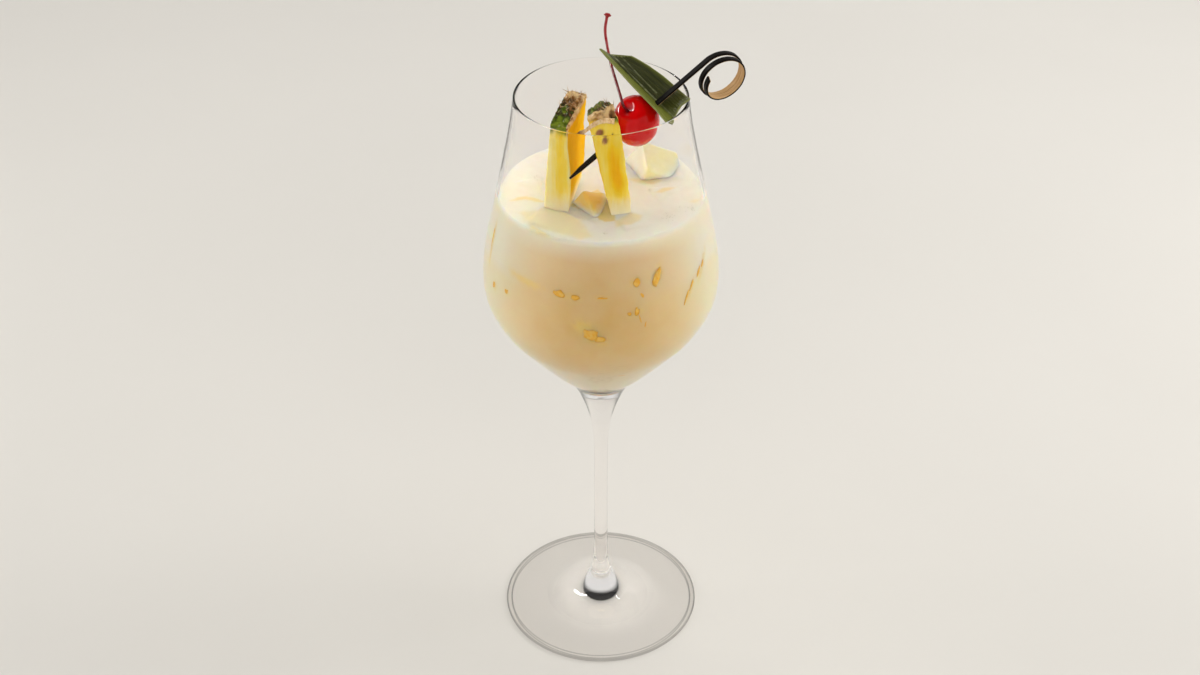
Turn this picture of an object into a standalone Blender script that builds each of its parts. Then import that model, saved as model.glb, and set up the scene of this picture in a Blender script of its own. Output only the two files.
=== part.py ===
# A virgin pina colada in a stemmed wine glass, garnished with two pineapple wedges,
# a cherry and a piece of pineapple leaf on a looped bamboo pick.
# Metres, +Z up. The origin is the centre of the foot's underside, and -Y is the front.

import math

import bmesh
import bpy
import numpy as np
from mathutils import Matrix, Vector

MM = 0.001
GAP = 0.3                     # clearance between pieces that touch; all sizes below are in mm

# Glass
TURN_SEGMENTS = 44
FOOT_RADIUS = 41.0
FOOT_EDGE = 1.5               # thickness of the foot at its edge
WALL = 1.2
RIM_HEIGHT = 242.4
RIM_RADIUS = 31.8
BOWL_RADIUS = 45.2            # widest part of the bowl
BOWL_HEIGHT = 169.0           # height of the widest part
STEM_RADIUS = 2.8
NECK_HEIGHT = 112.6           # where the stem's flare meets the bowl
BOWL_FLOOR = 114.6            # lowest point of the inside
INSIDE_BELOW = 126.0          # under this height the inside leaves the outside's line and rounds to the floor

# Outside of the glass as (radius, height)
FOOT_LINE = [(40.1, 1.52), (34.0, 1.95), (25.0, 2.9), (17.5, 4.3), (12.4, 6.3), (8.6, 9.2), (5.6, 13.4),
             (3.7, 19.0), (3.0, 26.0), (STEM_RADIUS, 40.0)]
NECK_LINE = [(STEM_RADIUS, 62.0), (2.95, 84.0), (3.6, 92.5), (4.9, 99.8), (6.9, 106.4), (9.4, NECK_HEIGHT)]
BOWL_LINE = [(12.9, 118.2), (19.4, 124.6), (25.2, 131.0), (31.4, 138.2), (38.6, 147.2), (43.9, 158.0),
             (BOWL_RADIUS, BOWL_HEIGHT), (43.7, 182.0), (40.7, 196.0), (37.2, 212.0), (33.9, 228.0),
             (RIM_RADIUS, RIM_HEIGHT - WALL / 2)]
FLOOR_LINE = [(12.0, 120.3), (7.4, 116.9), (3.6, 115.1), (0.0, BOWL_FLOOR)]   # inside the glass

# Drink
LEVEL = 203.0
FOAM_RELIEF = 0.35
DRINK_RINGS = (0.0, 7.0, 14.0, 21.0, 28.0, 34.0)
DRINK_CREEP = 0.4             # how far the edge climbs the glass

# Pick: a flat bamboo strip, pointed at one end and rolled into nearly two side by side turns
PICK_TIP = (-11.3, -18.6, 218.1)
PICK_AZIMUTH = 18.7
PICK_SLOPE = 36.7
PICK_WIDTH = 2.7              # of the straight part
LOOP_WIDTH = 2.8
PICK_THICKNESS = 0.9
PICK_POINT = 15.0             # length of the taper to the tip
PICK_STRAIGHT = 64.8
PICK_TIP_WIDTH = 0.4
PICK_WIDENS = 48.0            # distance from the tip at which it starts to widen to the loop
LOOP_ALONG = 8.75             # half axes of the loop, along the strip and across it
LOOP_ACROSS = 9.3
LOOP_DEGREES = 688.0
LOOP_PITCH = 3.7              # sideways step from one turn to the next
LOOP_TILT = 6.5               # how far the loop's foot leans back
LOOP_SWAY = 0.5
LOOP_SHRINK = 0.06            # the share by which each turn is smaller
LOOP_STEPS = 46

# Cherry, set on the pick
CHERRY_ALONG_PICK = 31.4
CHERRY_RADIUS = 8.35
CHERRY_TALL = 8.95
CHERRY_DIMPLE = 2.0
CHERRY_OFFSET = (0.0, 2.48, -1.68)   # its centre lies a little behind the pick
CHERRY_AXIS = (-0.46, -0.42, 0.78)    # from its centre to the dimple
CHERRY_RINGS = 13
CHERRY_SEGMENTS = 20
STEM_THICKNESS = 0.56         # radius
STEM_KNOB = (0.78, 1.5, 1.0)  # last radii of the stem
STEM_STATIONS = [(-4.7, -3.7, 8.0), (-5.7, -0.8, 10.3), (-7.2, 5.4, 12.9), (-9.0, 13.2, 16.2),
                 (-10.4, 18.9, 21.0), (-11.1, 22.2, 25.4), (-10.6, 24.7, 28.9), (-10.1, 25.8, 30.6)]

# Leaf: a folded piece of a pineapple leaf, pierced at its fold
LEAF_ALONG_PICK = 41.4
LEAF_RUN = (-0.687, 0.450, 0.573)
LEAF_SIDE = (0.727, 0.436, 0.534)
LEAF_THICKNESS = 0.8
LEAF_BLADE = 9.0              # widest part of the blade, fold to edge
LEAF_FOLD = 3.8               # how far the turned up side leans out
LEAF_LIFT = 8.0               # and how far it stands up
LEAF_FOLD_COLUMN = 0.36       # share of the grid's columns taken by the turned up side
LEAF_CUT = ((0, 0.18, LEAF_FOLD_COLUMN, 0.7, 1), (-8.6, -10.9, -9.3, -6.5, -7.3))   # where each column starts
LEAF_END = ((0, LEAF_FOLD_COLUMN, 1), (28.2, 26.8, 19.2))                           # and where it ends

WEDGES = {
    "pineapple_left": dict(
        low=(-14.8, -5.4), high=(-11.5, -6.0), azimuth=(80.0, 71.5),
        thick=(8.4, 6.6), back=1.0, depth=(22.4, 20.8), bulge=(0.1, 1.5),
        crest=240.4, rise=1.8, tilt=-0.3, arch=1.1, seed=1.3),
    "pineapple_right": dict(
        low=(6.2, -12.9), high=(-0.4, -12.2), azimuth=(103.0, 105.0),
        thick=(7.6, 11.6), back=0.50, depth=(12.0, 12.6), bulge=(0.2, 0.2),
        crest=243.2, rise=-1.9, tilt=1.2, arch=0.9, seed=4.1),
}
WEDGE_BASE = 190.0
WEDGE_CRAGS = 0.8             # unevenness of the rind
WEDGE_REFERENCE = (203.0, 240.0)   # heights at which the pairs above hold

# Ice that breaks the surface: centre, size, and turns about X, Y and Z in degrees
ICE = {
    "ice_front_left": ((-14.6, -24.3, 196.2), (23.0, 12.5, 15.5), (4.0, 3.0, -28.0)),
    "ice_middle": ((-3.8, -12.4, 200.2), (10.6, 11.4, 10.8), (28.0, 24.0, 38.0)),
    "ice_back_left": ((-27.4, 0.6, 196.8), (12.0, 14.5, 13.0), (2.0, -5.0, 8.0)),
    "ice_back_right": ((19.6, 16.6, 200.4), (17.5, 16.0, 16.5), (24.0, 27.0, 20.0)),
    "ice_right": ((24.2, -3.6, 197.0), (11.5, 12.5, 12.5), (5.0, 4.0, 20.0)),
    "ice_front_right": ((12.2, -25.2, 197.0), (12.0, 7.5, 12.5), (-4.0, 5.0, 20.0)),
}

COLOURS = {
    "glass": ((0.93, 0.95, 0.94), 0.02),
    "drink": ((0.93, 0.80, 0.52), 0.35),
    "ice": ((0.92, 0.78, 0.50), 0.12),
    "pineapple": ((0.93, 0.65, 0.13), 0.40),
    "cherry": ((0.72, 0.01, 0.01), 0.12),
    "leaf": ((0.13, 0.16, 0.03), 0.40),
    "bamboo": ((0.03, 0.025, 0.02), 0.40),
}


def clear_scene():
    for obj in list(bpy.data.objects):
        bpy.data.objects.remove(obj, do_unlink=True)


def make_material(name):
    colour, roughness = COLOURS[name]
    mat = bpy.data.materials.new(name)
    mat.use_nodes = True
    shader = mat.node_tree.nodes["Principled BSDF"]
    shader.inputs["Base Color"].default_value = (*colour, 1.0)
    shader.inputs["Roughness"].default_value = roughness
    shader.inputs["Metallic"].default_value = 0.0
    return mat


def unit(values):
    return Vector(values).normalized()


def smooth_run(stations, steps):
    """Points of a Catmull-Rom curve through the stations, with `steps` to a span."""
    pts = [np.array(p, float) for p in stations]
    pts = [2 * pts[0] - pts[1], *pts, 2 * pts[-1] - pts[-2]]
    run = []
    for i in range(1, len(pts) - 2):
        a, b, c, d = pts[i - 1:i + 3]
        for k in range(steps):
            t = k / steps
            run.append(0.5 * (2 * b + (c - a) * t + (2 * a - 5 * b + 4 * c - d) * t ** 2
                              + (3 * b - a - 3 * c + d) * t ** 3))
    run.append(pts[-2])
    return run


def offset_run(run, distance):
    """The same plane curve moved by `distance` to its left."""
    moved = []
    for i, p in enumerate(run):
        ahead = run[min(i + 1, len(run) - 1)]
        behind = run[max(i - 1, 0)]
        along = (ahead - behind) / np.linalg.norm(ahead - behind)
        moved.append(p + distance * np.array([-along[1], along[0]]))
    return moved


def object_from(bm, name, finish, sharp=40.0):
    bmesh.ops.recalc_face_normals(bm, faces=bm.faces)
    bmesh.ops.triangulate(bm, faces=bm.faces)
    bmesh.ops.scale(bm, vec=(MM, MM, MM), verts=bm.verts)
    mesh = bpy.data.meshes.new(name)
    bm.to_mesh(mesh)
    bm.free()
    mesh.shade_smooth()
    mesh.set_sharp_from_angle(angle=math.radians(sharp))
    obj = bpy.data.objects.new(name, mesh)
    bpy.context.scene.collection.objects.link(obj)
    if finish is not None:
        mesh.materials.append(finish)
    return obj


def turned(outline, segments, relief=None):
    """A solid of revolution; the outline of (radius, height) starts and ends on the axis."""
    bm = bmesh.new()
    rings = []
    for radius, height in outline:
        if radius < 1e-6:
            rings.append([bm.verts.new((0, 0, height))])
            continue
        ring = []
        for k in range(segments):
            angle = 2 * math.pi * k / segments
            x = radius * math.cos(angle)
            y = radius * math.sin(angle)
            z = height + (relief(x, y, radius, height) if relief else 0.0)
            ring.append(bm.verts.new((x, y, z)))
        rings.append(ring)
    for lower, upper in zip(rings, rings[1:]):
        for k in range(segments):
            n = (k + 1) % segments
            corners = [lower[k % len(lower)], lower[n % len(lower)],
                       upper[n % len(upper)], upper[k % len(upper)]]
            corners = list(dict.fromkeys(corners))
            bm.faces.new(corners)
    return bm


def block(cells, shape):
    """The skin of a box of cells; `shape` places a point given in -1 to 1 on each axis."""
    bm = bmesh.new()
    verts = {}

    def vert(i, j, k):
        if (i, j, k) not in verts:
            unit_place = [2 * n / c - 1 for n, c in zip((i, j, k), cells)]
            verts[i, j, k] = bm.verts.new(shape(*unit_place))
        return verts[i, j, k]

    for axis in range(3):
        first, second = [a for a in range(3) if a != axis]
        for side in (0, cells[axis]):
            for m in range(cells[first]):
                for n in range(cells[second]):
                    corners = []
                    for dm, dn in ((0, 0), (1, 0), (1, 1), (0, 1)):
                        place = [0, 0, 0]
                        place[axis] = side
                        place[first] = m + dm
                        place[second] = n + dn
                        corners.append(vert(*place))
                    bm.faces.new(corners)
    return bm


def tube(points, radii, sides):
    """A round bar along the points, closed at both ends."""
    bm = bmesh.new()
    rings = []
    side = Vector((1, 0, 0))
    for i, p in enumerate(points):
        ahead = points[min(i + 1, len(points) - 1)]
        behind = points[max(i - 1, 0)]
        along = (ahead - behind).normalized()
        side = (side - along * side.dot(along)).normalized()
        other = along.cross(side)
        ring = []
        for k in range(sides):
            angle = 2 * math.pi * k / sides
            outward = math.cos(angle) * side + math.sin(angle) * other
            ring.append(bm.verts.new(p + radii[i] * outward))
        rings.append(ring)
    for lower, upper in zip(rings, rings[1:]):
        for k in range(sides):
            n = (k + 1) % sides
            bm.faces.new((lower[k], lower[n], upper[n], upper[k]))
    bm.faces.new(rings[0])
    bm.faces.new(rings[-1])
    return bm


def strip(points, faces_up, widths, thickness):
    """A flat bar: `faces_up` is the direction of its upper face at each point."""
    bm = bmesh.new()
    rings = []
    for i, p in enumerate(points):
        ahead = points[min(i + 1, len(points) - 1)]
        behind = points[max(i - 1, 0)]
        up = faces_up[i]
        across = (ahead - behind).cross(up).normalized()
        half = across * widths[i] / 2
        lift = up * thickness / 2
        corners = (p - half - lift, p + half - lift, p + half + lift, p - half + lift)
        rings.append([bm.verts.new(q) for q in corners])
    for lower, upper in zip(rings, rings[1:]):
        for k in range(4):
            n = (k + 1) % 4
            bm.faces.new((lower[k], lower[n], upper[n], upper[k]))
    bm.faces.new(rings[0])
    bm.faces.new(rings[-1])
    return bm


def sheet(rows, columns, surface, thickness):
    """A thin wavy solid on the grid that `surface(row, column)` gives, split alike on both faces."""
    grid = []
    for i in range(rows):
        grid.append([Vector(surface(i / (rows - 1), j / (columns - 1))) for j in range(columns)])
    bm = bmesh.new()
    faces = []
    for side in (-0.5, 0.5):
        layer = []
        for i in range(rows):
            line = []
            for j in range(columns):
                along = grid[min(i + 1, rows - 1)][j] - grid[max(i - 1, 0)][j]
                across = grid[i][min(j + 1, columns - 1)] - grid[i][max(j - 1, 0)]
                normal = along.cross(across).normalized()
                line.append(bm.verts.new(grid[i][j] + normal * side * thickness))
            layer.append(line)
        faces.append(layer)
    for layer in faces:
        for i in range(rows - 1):
            for j in range(columns - 1):
                a, b, c, d = layer[i][j], layer[i + 1][j], layer[i + 1][j + 1], layer[i][j + 1]
                bm.faces.new((a, b, c))
                bm.faces.new((a, c, d))
    border = [(i, 0) for i in range(rows)] + [(rows - 1, j) for j in range(1, columns)]
    border += [(i, columns - 1) for i in range(rows - 2, -1, -1)]
    border += [(0, j) for j in range(columns - 2, 0, -1)]
    for (i, j), (m, n) in zip(border, border[1:] + border[:1]):
        bm.faces.new((faces[0][i][j], faces[0][m][n], faces[1][m][n], faces[1][i][j]))
    return bm


def combine(target, others, operation):
    """Unites or cuts the target with the other objects, which are then removed."""
    for other in others:
        modifier = target.modifiers.new("combine", "BOOLEAN")
        modifier.operation = operation
        modifier.object = other
        bpy.context.view_layer.update()
        evaluated = target.evaluated_get(bpy.context.evaluated_depsgraph_get())
        result = bpy.data.meshes.new_from_object(evaluated)
        target.modifiers.remove(modifier)
        target.data = result
    for other in others:
        bpy.data.objects.remove(other, do_unlink=True)


def wave(x, y, z, seed):
    """A repeatable uneven value between about -1 and 1."""
    return (math.sin(1.1 * x + 0.7 * y + seed) * math.sin(0.8 * z - 0.9 * y + 2.1 * seed)
            + 0.5 * math.sin(1.9 * z + 1.3 * x - seed)) / 1.5


def glass_outer():
    """Outside of the glass, foot edge to rim, as (radius, height)."""
    edge = FOOT_EDGE / 2
    run = []
    for angle in (-90, -45, 0, 45, 80):
        turn = math.radians(angle)
        run.append(np.array([FOOT_RADIUS - edge + edge * math.cos(turn), edge + edge * math.sin(turn)]))
    run += smooth_run(FOOT_LINE + NECK_LINE, 1)[1:]
    run += smooth_run([NECK_LINE[-1], *BOWL_LINE], 2)[1:]
    return run


def glass_inner(outer):
    """Inside of the glass, rim to floor, a wall's thickness within the outside."""
    walls = [p for p in outer if p[1] > INSIDE_BELOW]
    run = offset_run(walls, WALL)[::-1]
    return run + [np.array(p) for p in FLOOR_LINE]


def make_glass(finish):
    outer = glass_outer()
    inner = glass_inner(outer)
    rim_centre = (outer[-1] + inner[0]) / 2
    rim = []
    for angle in (45, 90, 135):
        turn = math.radians(angle)
        rim.append(rim_centre + WALL / 2 * np.array([math.cos(turn), math.sin(turn)]))
    outline = [np.zeros(2), *outer, *rim, *inner]
    return object_from(turned(outline, TURN_SEGMENTS), "glass", finish), inner


def foam(x, y, radius, height):
    """Unevenness of the drink's top, fading towards the wall."""
    if height < LEVEL - 0.5:
        return 0.0
    fade = min(1.0, max(0.0, (DRINK_RINGS[-1] + 4.0 - radius) / 8.0))
    return FOAM_RELIEF * fade * wave(0.35 * x, 0.35 * y, 0.2 * (x - y), 2.0)


def make_drink(inner, finish, cutters):
    wall = offset_run(inner, -GAP)
    wall[-1] = np.array([0.0, BOWL_FLOOR + GAP])
    below = [p for p in wall if p[1] < LEVEL - 1.0]
    heights = [p[1] for p in wall[::-1]]
    radii = [p[0] for p in wall[::-1]]
    edge = float(np.interp(LEVEL, heights, radii))
    top = [(radius, LEVEL) for radius in DRINK_RINGS]
    top += [(edge - 0.9, LEVEL + DRINK_CREEP), (edge, LEVEL + DRINK_CREEP / 2)]
    drink = object_from(turned([*top, *below], TURN_SEGMENTS, foam), "drink", finish)
    combine(drink, cutters, "DIFFERENCE")
    return drink


def pick_frame():
    """Direction along the pick, the strip's width direction and its upper face's direction."""
    azimuth = math.radians(PICK_AZIMUTH)
    slope = math.radians(PICK_SLOPE)
    level = Vector((math.cos(azimuth), math.sin(azimuth), 0))
    along = math.cos(slope) * level + Vector((0, 0, math.sin(slope)))
    up = -math.sin(slope) * level + Vector((0, 0, math.cos(slope)))
    across = along.cross(up)
    return along, across, up


def pick_point(distance):
    return Vector(PICK_TIP) + pick_frame()[0] * distance


def make_pick(finish):
    along, across, up = pick_frame()
    points, ups, widths = [], [], []
    for distance in (0.0, PICK_POINT / 2, PICK_POINT, 26.0, PICK_WIDENS, PICK_STRAIGHT - 4.0):
        width = np.interp(distance, (0.0, PICK_POINT, PICK_WIDENS, PICK_STRAIGHT),
                          (PICK_TIP_WIDTH, PICK_WIDTH, PICK_WIDTH, LOOP_WIDTH))
        points.append(pick_point(distance) + across * max(0.0, PICK_WIDTH - width) * 0.15)
        ups.append(up)
        widths.append(width)
    centre = pick_point(PICK_STRAIGHT) - up * LOOP_ACROSS
    for k in range(LOOP_STEPS + 1):
        turn = math.radians(LOOP_DEGREES * k / LOOP_STEPS)
        shift = LOOP_PITCH * turn / (2 * math.pi) + LOOP_SWAY * math.sin(turn)
        shift -= LOOP_TILT * (1 - math.cos(turn)) / 2
        size = 1 - LOOP_SHRINK * turn / (2 * math.pi)
        points.append(centre + size * (LOOP_ACROSS * math.cos(turn) * up + LOOP_ALONG * math.sin(turn) * along)
                      + across * shift)
        ups.append((math.cos(turn) * LOOP_ALONG * up + math.sin(turn) * LOOP_ACROSS * along).normalized())
        widths.append(LOOP_WIDTH)
    return object_from(strip(points, ups, widths, PICK_THICKNESS), "pick", finish, 30.0)


def pick_cutter(start, end):
    """The strip with its clearance, between two distances from the tip."""
    up = pick_frame()[2]
    ends = [pick_point(start), pick_point(end)]
    widths = [PICK_WIDTH + 2 * GAP] * 2
    return object_from(strip(ends, [up, up], widths, PICK_THICKNESS + 2 * GAP), "pick_cutter", None)


def wedge_shape(data, grow):
    """Places the points of a pineapple wedge: u across it, v front to back, w tip to rind."""
    low_height, high_height = WEDGE_REFERENCE

    def shape(u, v, w):
        height = (w + 1) / 2
        arc = data["arch"] * (1 - v * v)
        top = data["crest"] + data["rise"] * v + data["tilt"] * u + arc - data["arch"]
        z = WEDGE_BASE + (top - WEDGE_BASE) * height
        t = (z - low_height) / (high_height - low_height)
        azimuth = math.radians(np.interp(t, (0, 1), data["azimuth"]))
        centre = Vector(data["low"]).lerp(Vector(data["high"]), t)
        slim = 1 - 0.35 * max(0.0, (low_height - z) / (low_height - WEDGE_BASE))
        thick = np.interp(t, (0, 1), data["thick"]) * slim
        thick *= np.interp(v, (-1, 0.2, 1), (1.0, 0.3 + 0.7 * data["back"], data["back"]))
        depth = np.interp(t, (0, 1), data["depth"]) * slim
        belly = data["bulge"][u > 0] * math.sin(math.pi * min(1.0, max(0.0, t * 1.2 + 0.15)))
        corner = 1 - 0.05 * abs(u * v)
        side = u * (thick / 2 + belly + grow) * corner
        run = v * (depth / 2 + grow) * corner
        rough = 0.22 * wave(side, run, z, data["seed"]) * (0 if grow else 1)
        side += rough * u
        run += rough * v
        if w > 0.99:
            z += WEDGE_CRAGS * wave(2 * side, run, 3.0, data["seed"]) * (1 - 0.6 * abs(v))
        x = centre.x + run * math.cos(azimuth) + side * math.sin(azimuth)
        y = centre.y + run * math.sin(azimuth) - side * math.cos(azimuth)
        return Vector((x, y, z + w * grow))

    return shape


def make_wedge(name, finish):
    return object_from(block((4, 7, 11), wedge_shape(WEDGES[name], 0.0)), name, finish)


def wedge_cutter(name):
    return object_from(block((2, 5, 9), wedge_shape(WEDGES[name], GAP + 0.35)), name + "_cutter", None)


def ice_shape(name, grow):
    """Places the points of a melted cube with rounded corners."""
    centre, size, turns = ICE[name]
    turn = Matrix.Rotation(math.radians(turns[2]), 3, "Z")
    turn = turn @ Matrix.Rotation(math.radians(turns[1]), 3, "Y")
    turn = turn @ Matrix.Rotation(math.radians(turns[0]), 3, "X")

    def shape(u, v, w):
        power = 5.0
        reach = (abs(u) ** power + abs(v) ** power + abs(w) ** power) ** (-1 / power)
        half = [length / 2 + grow for length in size]
        local = Vector((u * half[0], v * half[1], w * half[2])) * reach
        melt = 1.0
        if not grow:
            melt += 0.03 * wave(0.5 * local.x, 0.5 * local.y, 0.5 * local.z, size[0]) - 0.015
        return Vector(centre) + turn @ (local * melt)

    return shape


def make_ice(name, finish):
    return object_from(block((4, 4, 4), ice_shape(name, 0.0)), name, finish)


def ice_cutter(name):
    return object_from(block((3, 3, 3), ice_shape(name, GAP + 0.6)), name + "_cutter", None)


def make_cherry(finish):
    centre = pick_point(CHERRY_ALONG_PICK) + Vector(CHERRY_OFFSET)
    axis = unit(CHERRY_AXIS)
    outline = []
    for k in range(CHERRY_RINGS + 1):
        angle = math.pi * k / CHERRY_RINGS
        hollow = CHERRY_DIMPLE * math.exp(-(angle / 0.34) ** 2)
        radius = CHERRY_RADIUS - hollow - 0.5 * math.exp(-((math.pi - angle) / 0.5) ** 2)
        outline.append((radius * math.sin(angle) if 0 < k < CHERRY_RINGS else 0.0, radius * math.cos(angle)))
    cherry = object_from(turned(outline, CHERRY_SEGMENTS), "cherry", finish)
    turn = axis.to_track_quat("Z", "Y").to_matrix().to_4x4()
    stretch = Matrix.Scale(CHERRY_TALL / CHERRY_RADIUS, 4, unit((0.0, 0.56, 0.83)))
    cherry.data.transform(Matrix.Translation(centre * MM) @ stretch @ turn)

    root = axis * (CHERRY_RADIUS - CHERRY_DIMPLE - 1.2)
    run = [centre + Vector(p) for p in smooth_run([root, *STEM_STATIONS], 2)]
    radii = [STEM_THICKNESS] * (len(run) - len(STEM_KNOB)) + list(STEM_KNOB)
    stem = object_from(tube(run, radii, 8), "cherry_stem", None)
    combine(cherry, [stem], "UNION")
    combine(cherry, [pick_cutter(CHERRY_ALONG_PICK - 14, CHERRY_ALONG_PICK + 14)], "DIFFERENCE")
    return cherry


def leaf_surface(row, column):
    """A point of the leaf: rows go from cut end to tip, columns from the turned up edge to the blade's."""
    run, side = unit(LEAF_RUN), unit(LEAF_SIDE)
    front = side.cross(run).normalized()
    fold = LEAF_FOLD_COLUMN
    starts = np.interp(column, *LEAF_CUT)
    ends = np.interp(column, *LEAF_END)
    along = starts + (ends - starts) * row
    if column < fold:
        share = 1 - column / fold
        fade = np.interp(along, (-9, 10, 28), (1.0, 0.7, 0.26))
        across = -LEAF_FOLD * share * fade - 0.9 * row * row
        lift = LEAF_LIFT * share * np.interp(along, (-11, -3, 10, 28), (0.45, 0.95, 0.7, 0.26))
    else:
        share = (column - fold) / (1 - fold)
        edge = LEAF_BLADE - 3.6 * (max(0.0, along) / 19.2) ** 2
        closing = np.interp(row, (0.0, 0.8, 1.0), (0.0, 0.0, 1.0))
        across = share * edge * (1 - 0.35 * closing * (1 - share)) - 0.9 * row * row * (1 - share)
        lift = 2.6 * share * share * math.exp(-(along + 7.3) / 4.0) - 0.5 * math.sin(math.pi * share)
    bow = -1.9 - 0.22 * along + 0.009 * along * along
    lift += bow
    return pick_point(LEAF_ALONG_PICK) + run * along + side * across + front * lift


def make_leaf(finish):
    leaf = object_from(sheet(13, 9, leaf_surface, LEAF_THICKNESS), "leaf", finish, 60.0)
    combine(leaf, [pick_cutter(LEAF_ALONG_PICK - 8, LEAF_ALONG_PICK + 16)], "DIFFERENCE")
    return leaf


def main():
    clear_scene()
    finishes = {name: make_material(name) for name in COLOURS}
    glass, inner = make_glass(finishes["glass"])
    for name in WEDGES:
        make_wedge(name, finishes["pineapple"])
    for name in ICE:
        make_ice(name, finishes["ice"])
    cutters = [wedge_cutter(name) for name in WEDGES] + [ice_cutter(name) for name in ICE]
    make_drink(inner, finishes["drink"], cutters)
    make_cherry(finishes["cherry"])
    make_leaf(finishes["leaf"])
    make_pick(finishes["bamboo"])
    combine(bpy.data.objects["pineapple_right"], [pick_cutter(4.0, 26.0)], "DIFFERENCE")


main()
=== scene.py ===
# Virgin pina colada in its stemmed glass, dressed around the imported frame.
# Shapes are worked out in millimetres and turned into metres when the meshes are made.
from math import cos, exp, hypot, pi, radians, sin
import bmesh
import bpy
import numpy as np
from mathutils import Matrix, Vector, noise
from mathutils.bvhtree import BVHTree


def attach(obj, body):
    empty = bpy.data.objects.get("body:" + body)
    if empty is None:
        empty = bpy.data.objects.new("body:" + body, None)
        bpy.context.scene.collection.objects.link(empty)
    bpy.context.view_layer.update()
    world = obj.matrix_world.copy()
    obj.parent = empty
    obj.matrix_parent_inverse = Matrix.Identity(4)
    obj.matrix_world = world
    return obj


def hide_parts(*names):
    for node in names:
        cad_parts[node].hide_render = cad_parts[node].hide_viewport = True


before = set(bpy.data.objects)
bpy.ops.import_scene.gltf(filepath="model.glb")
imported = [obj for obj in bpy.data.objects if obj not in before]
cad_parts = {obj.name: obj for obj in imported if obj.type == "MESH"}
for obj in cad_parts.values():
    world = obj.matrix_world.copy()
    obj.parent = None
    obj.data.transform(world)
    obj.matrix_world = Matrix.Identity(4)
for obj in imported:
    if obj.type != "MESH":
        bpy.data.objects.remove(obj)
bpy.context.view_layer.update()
print("frame loaded")


# numbers and curves


def clamp(value):
    return min(1.0, max(0.0, value))


def bell(away, width):
    return exp(-(away / width) ** 2)


def turnsOf(count):
    return [2 * pi * k / count for k in range(count)]


def wayAlong(run, i):
    # the way that a run of points goes at one of them
    return run[min(i + 1, len(run) - 1)] - run[max(i - 1, 0)]


def smoothRun(stations, steps):
    # points of a Catmull-Rom curve through the stations
    pts = [np.array(p, float) for p in stations]
    pts = [2 * pts[0] - pts[1], *pts, 2 * pts[-1] - pts[-2]]
    run = []
    for i in range(1, len(pts) - 2):
        a, b, c, d = pts[i - 1:i + 3]
        for k in range(steps):
            t = k / steps
            run.append(0.5 * (2 * b + (c - a) * t + (2 * a - 5 * b + 4 * c - d) * t ** 2
                              + (3 * b - a - 3 * c + d) * t ** 3))
    run.append(pts[-2])
    return run


def offsetRun(run, distance):
    moved = []
    for i, p in enumerate(run):
        along = wayAlong(run, i)
        along = along / np.linalg.norm(along)
        moved.append(p + distance * np.array([-along[1], along[0]]))
    return moved


def grain(p, scale, octaves=3, seed=0.0):
    # fractal noise of a place in mm, about -1 to 1
    place = Vector((p[0] / scale + seed, p[1] / scale - seed, p[2] / scale + 2 * seed))
    return noise.fractal(place, 1.0, 2.0, octaves)


def wave(x, y, z, seed):
    return (sin(1.1 * x + 0.7 * y + seed) * sin(0.8 * z - 0.9 * y + 2.1 * seed)
            + 0.5 * sin(1.9 * z + 1.3 * x - seed)) / 1.5


# meshes


def linked(name, data):
    obj = bpy.data.objects.new(name, data)
    bpy.context.scene.collection.objects.link(obj)
    return obj


def addLayers(mesh, layers):
    for name, values in layers.items():
        attribute = mesh.attributes.new(name, "FLOAT", "POINT")
        attribute.data.foreach_set("value", np.asarray(values, np.float32))


def pointsOf(mesh):
    # the points of a mesh in mm
    points = np.zeros(len(mesh.vertices) * 3)
    mesh.vertices.foreach_get("co", points)
    return points.reshape(-1, 3) * 1000


def turnOutwards(obj):
    bm = bmesh.new()
    bm.from_mesh(obj.data)
    bmesh.ops.remove_doubles(bm, verts=bm.verts, dist=1e-7)
    bmesh.ops.recalc_face_normals(bm, faces=bm.faces)
    bm.to_mesh(obj.data)
    bm.free()
    return obj


def meshObject(name, verts, faces, material, layers=None, uvs=None):
    mesh = bpy.data.meshes.new(name)
    mesh.from_pydata((np.asarray(verts) * 0.001).tolist(), [], faces)
    mesh.validate()
    mesh.shade_smooth()
    addLayers(mesh, layers or {})
    if uvs is not None:
        corners = np.zeros(len(mesh.loops), np.int32)
        mesh.loops.foreach_get("vertex_index", corners)
        uvMap = mesh.uv_layers.new(name="UVMap")
        uvMap.data.foreach_set("uv", np.asarray(uvs, np.float32)[corners].ravel())
    mesh.materials.append(material)
    return linked(name, mesh)


def ringFaces(rows, columns, first=0, closed=False):
    # faces between closed rings of points, one ring after another
    faces = []
    for i in range(rows if closed else rows - 1):
        low, high = first + i * columns, first + (i + 1) % rows * columns
        for j in range(columns):
            n = (j + 1) % columns
            faces.append((low + j, low + n, high + n, high + j))
    return faces


def loft(name, rings, material, layers=None, uvs=None):
    # closed rings of points joined one after another, with flat ends
    rings = np.asarray(rings, float)
    rows, columns = rings.shape[:2]
    faces = ringFaces(rows, columns)
    faces.append(tuple(range(columns))[::-1])
    faces.append(tuple((rows - 1) * columns + j for j in range(columns)))
    flat = {key: np.asarray(values).ravel() for key, values in (layers or {}).items()}
    if uvs is not None:
        uvs = np.asarray(uvs).reshape(-1, 2)
    return turnOutwards(meshObject(name, rings.reshape(-1, 3), faces, material, flat, uvs))


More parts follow.
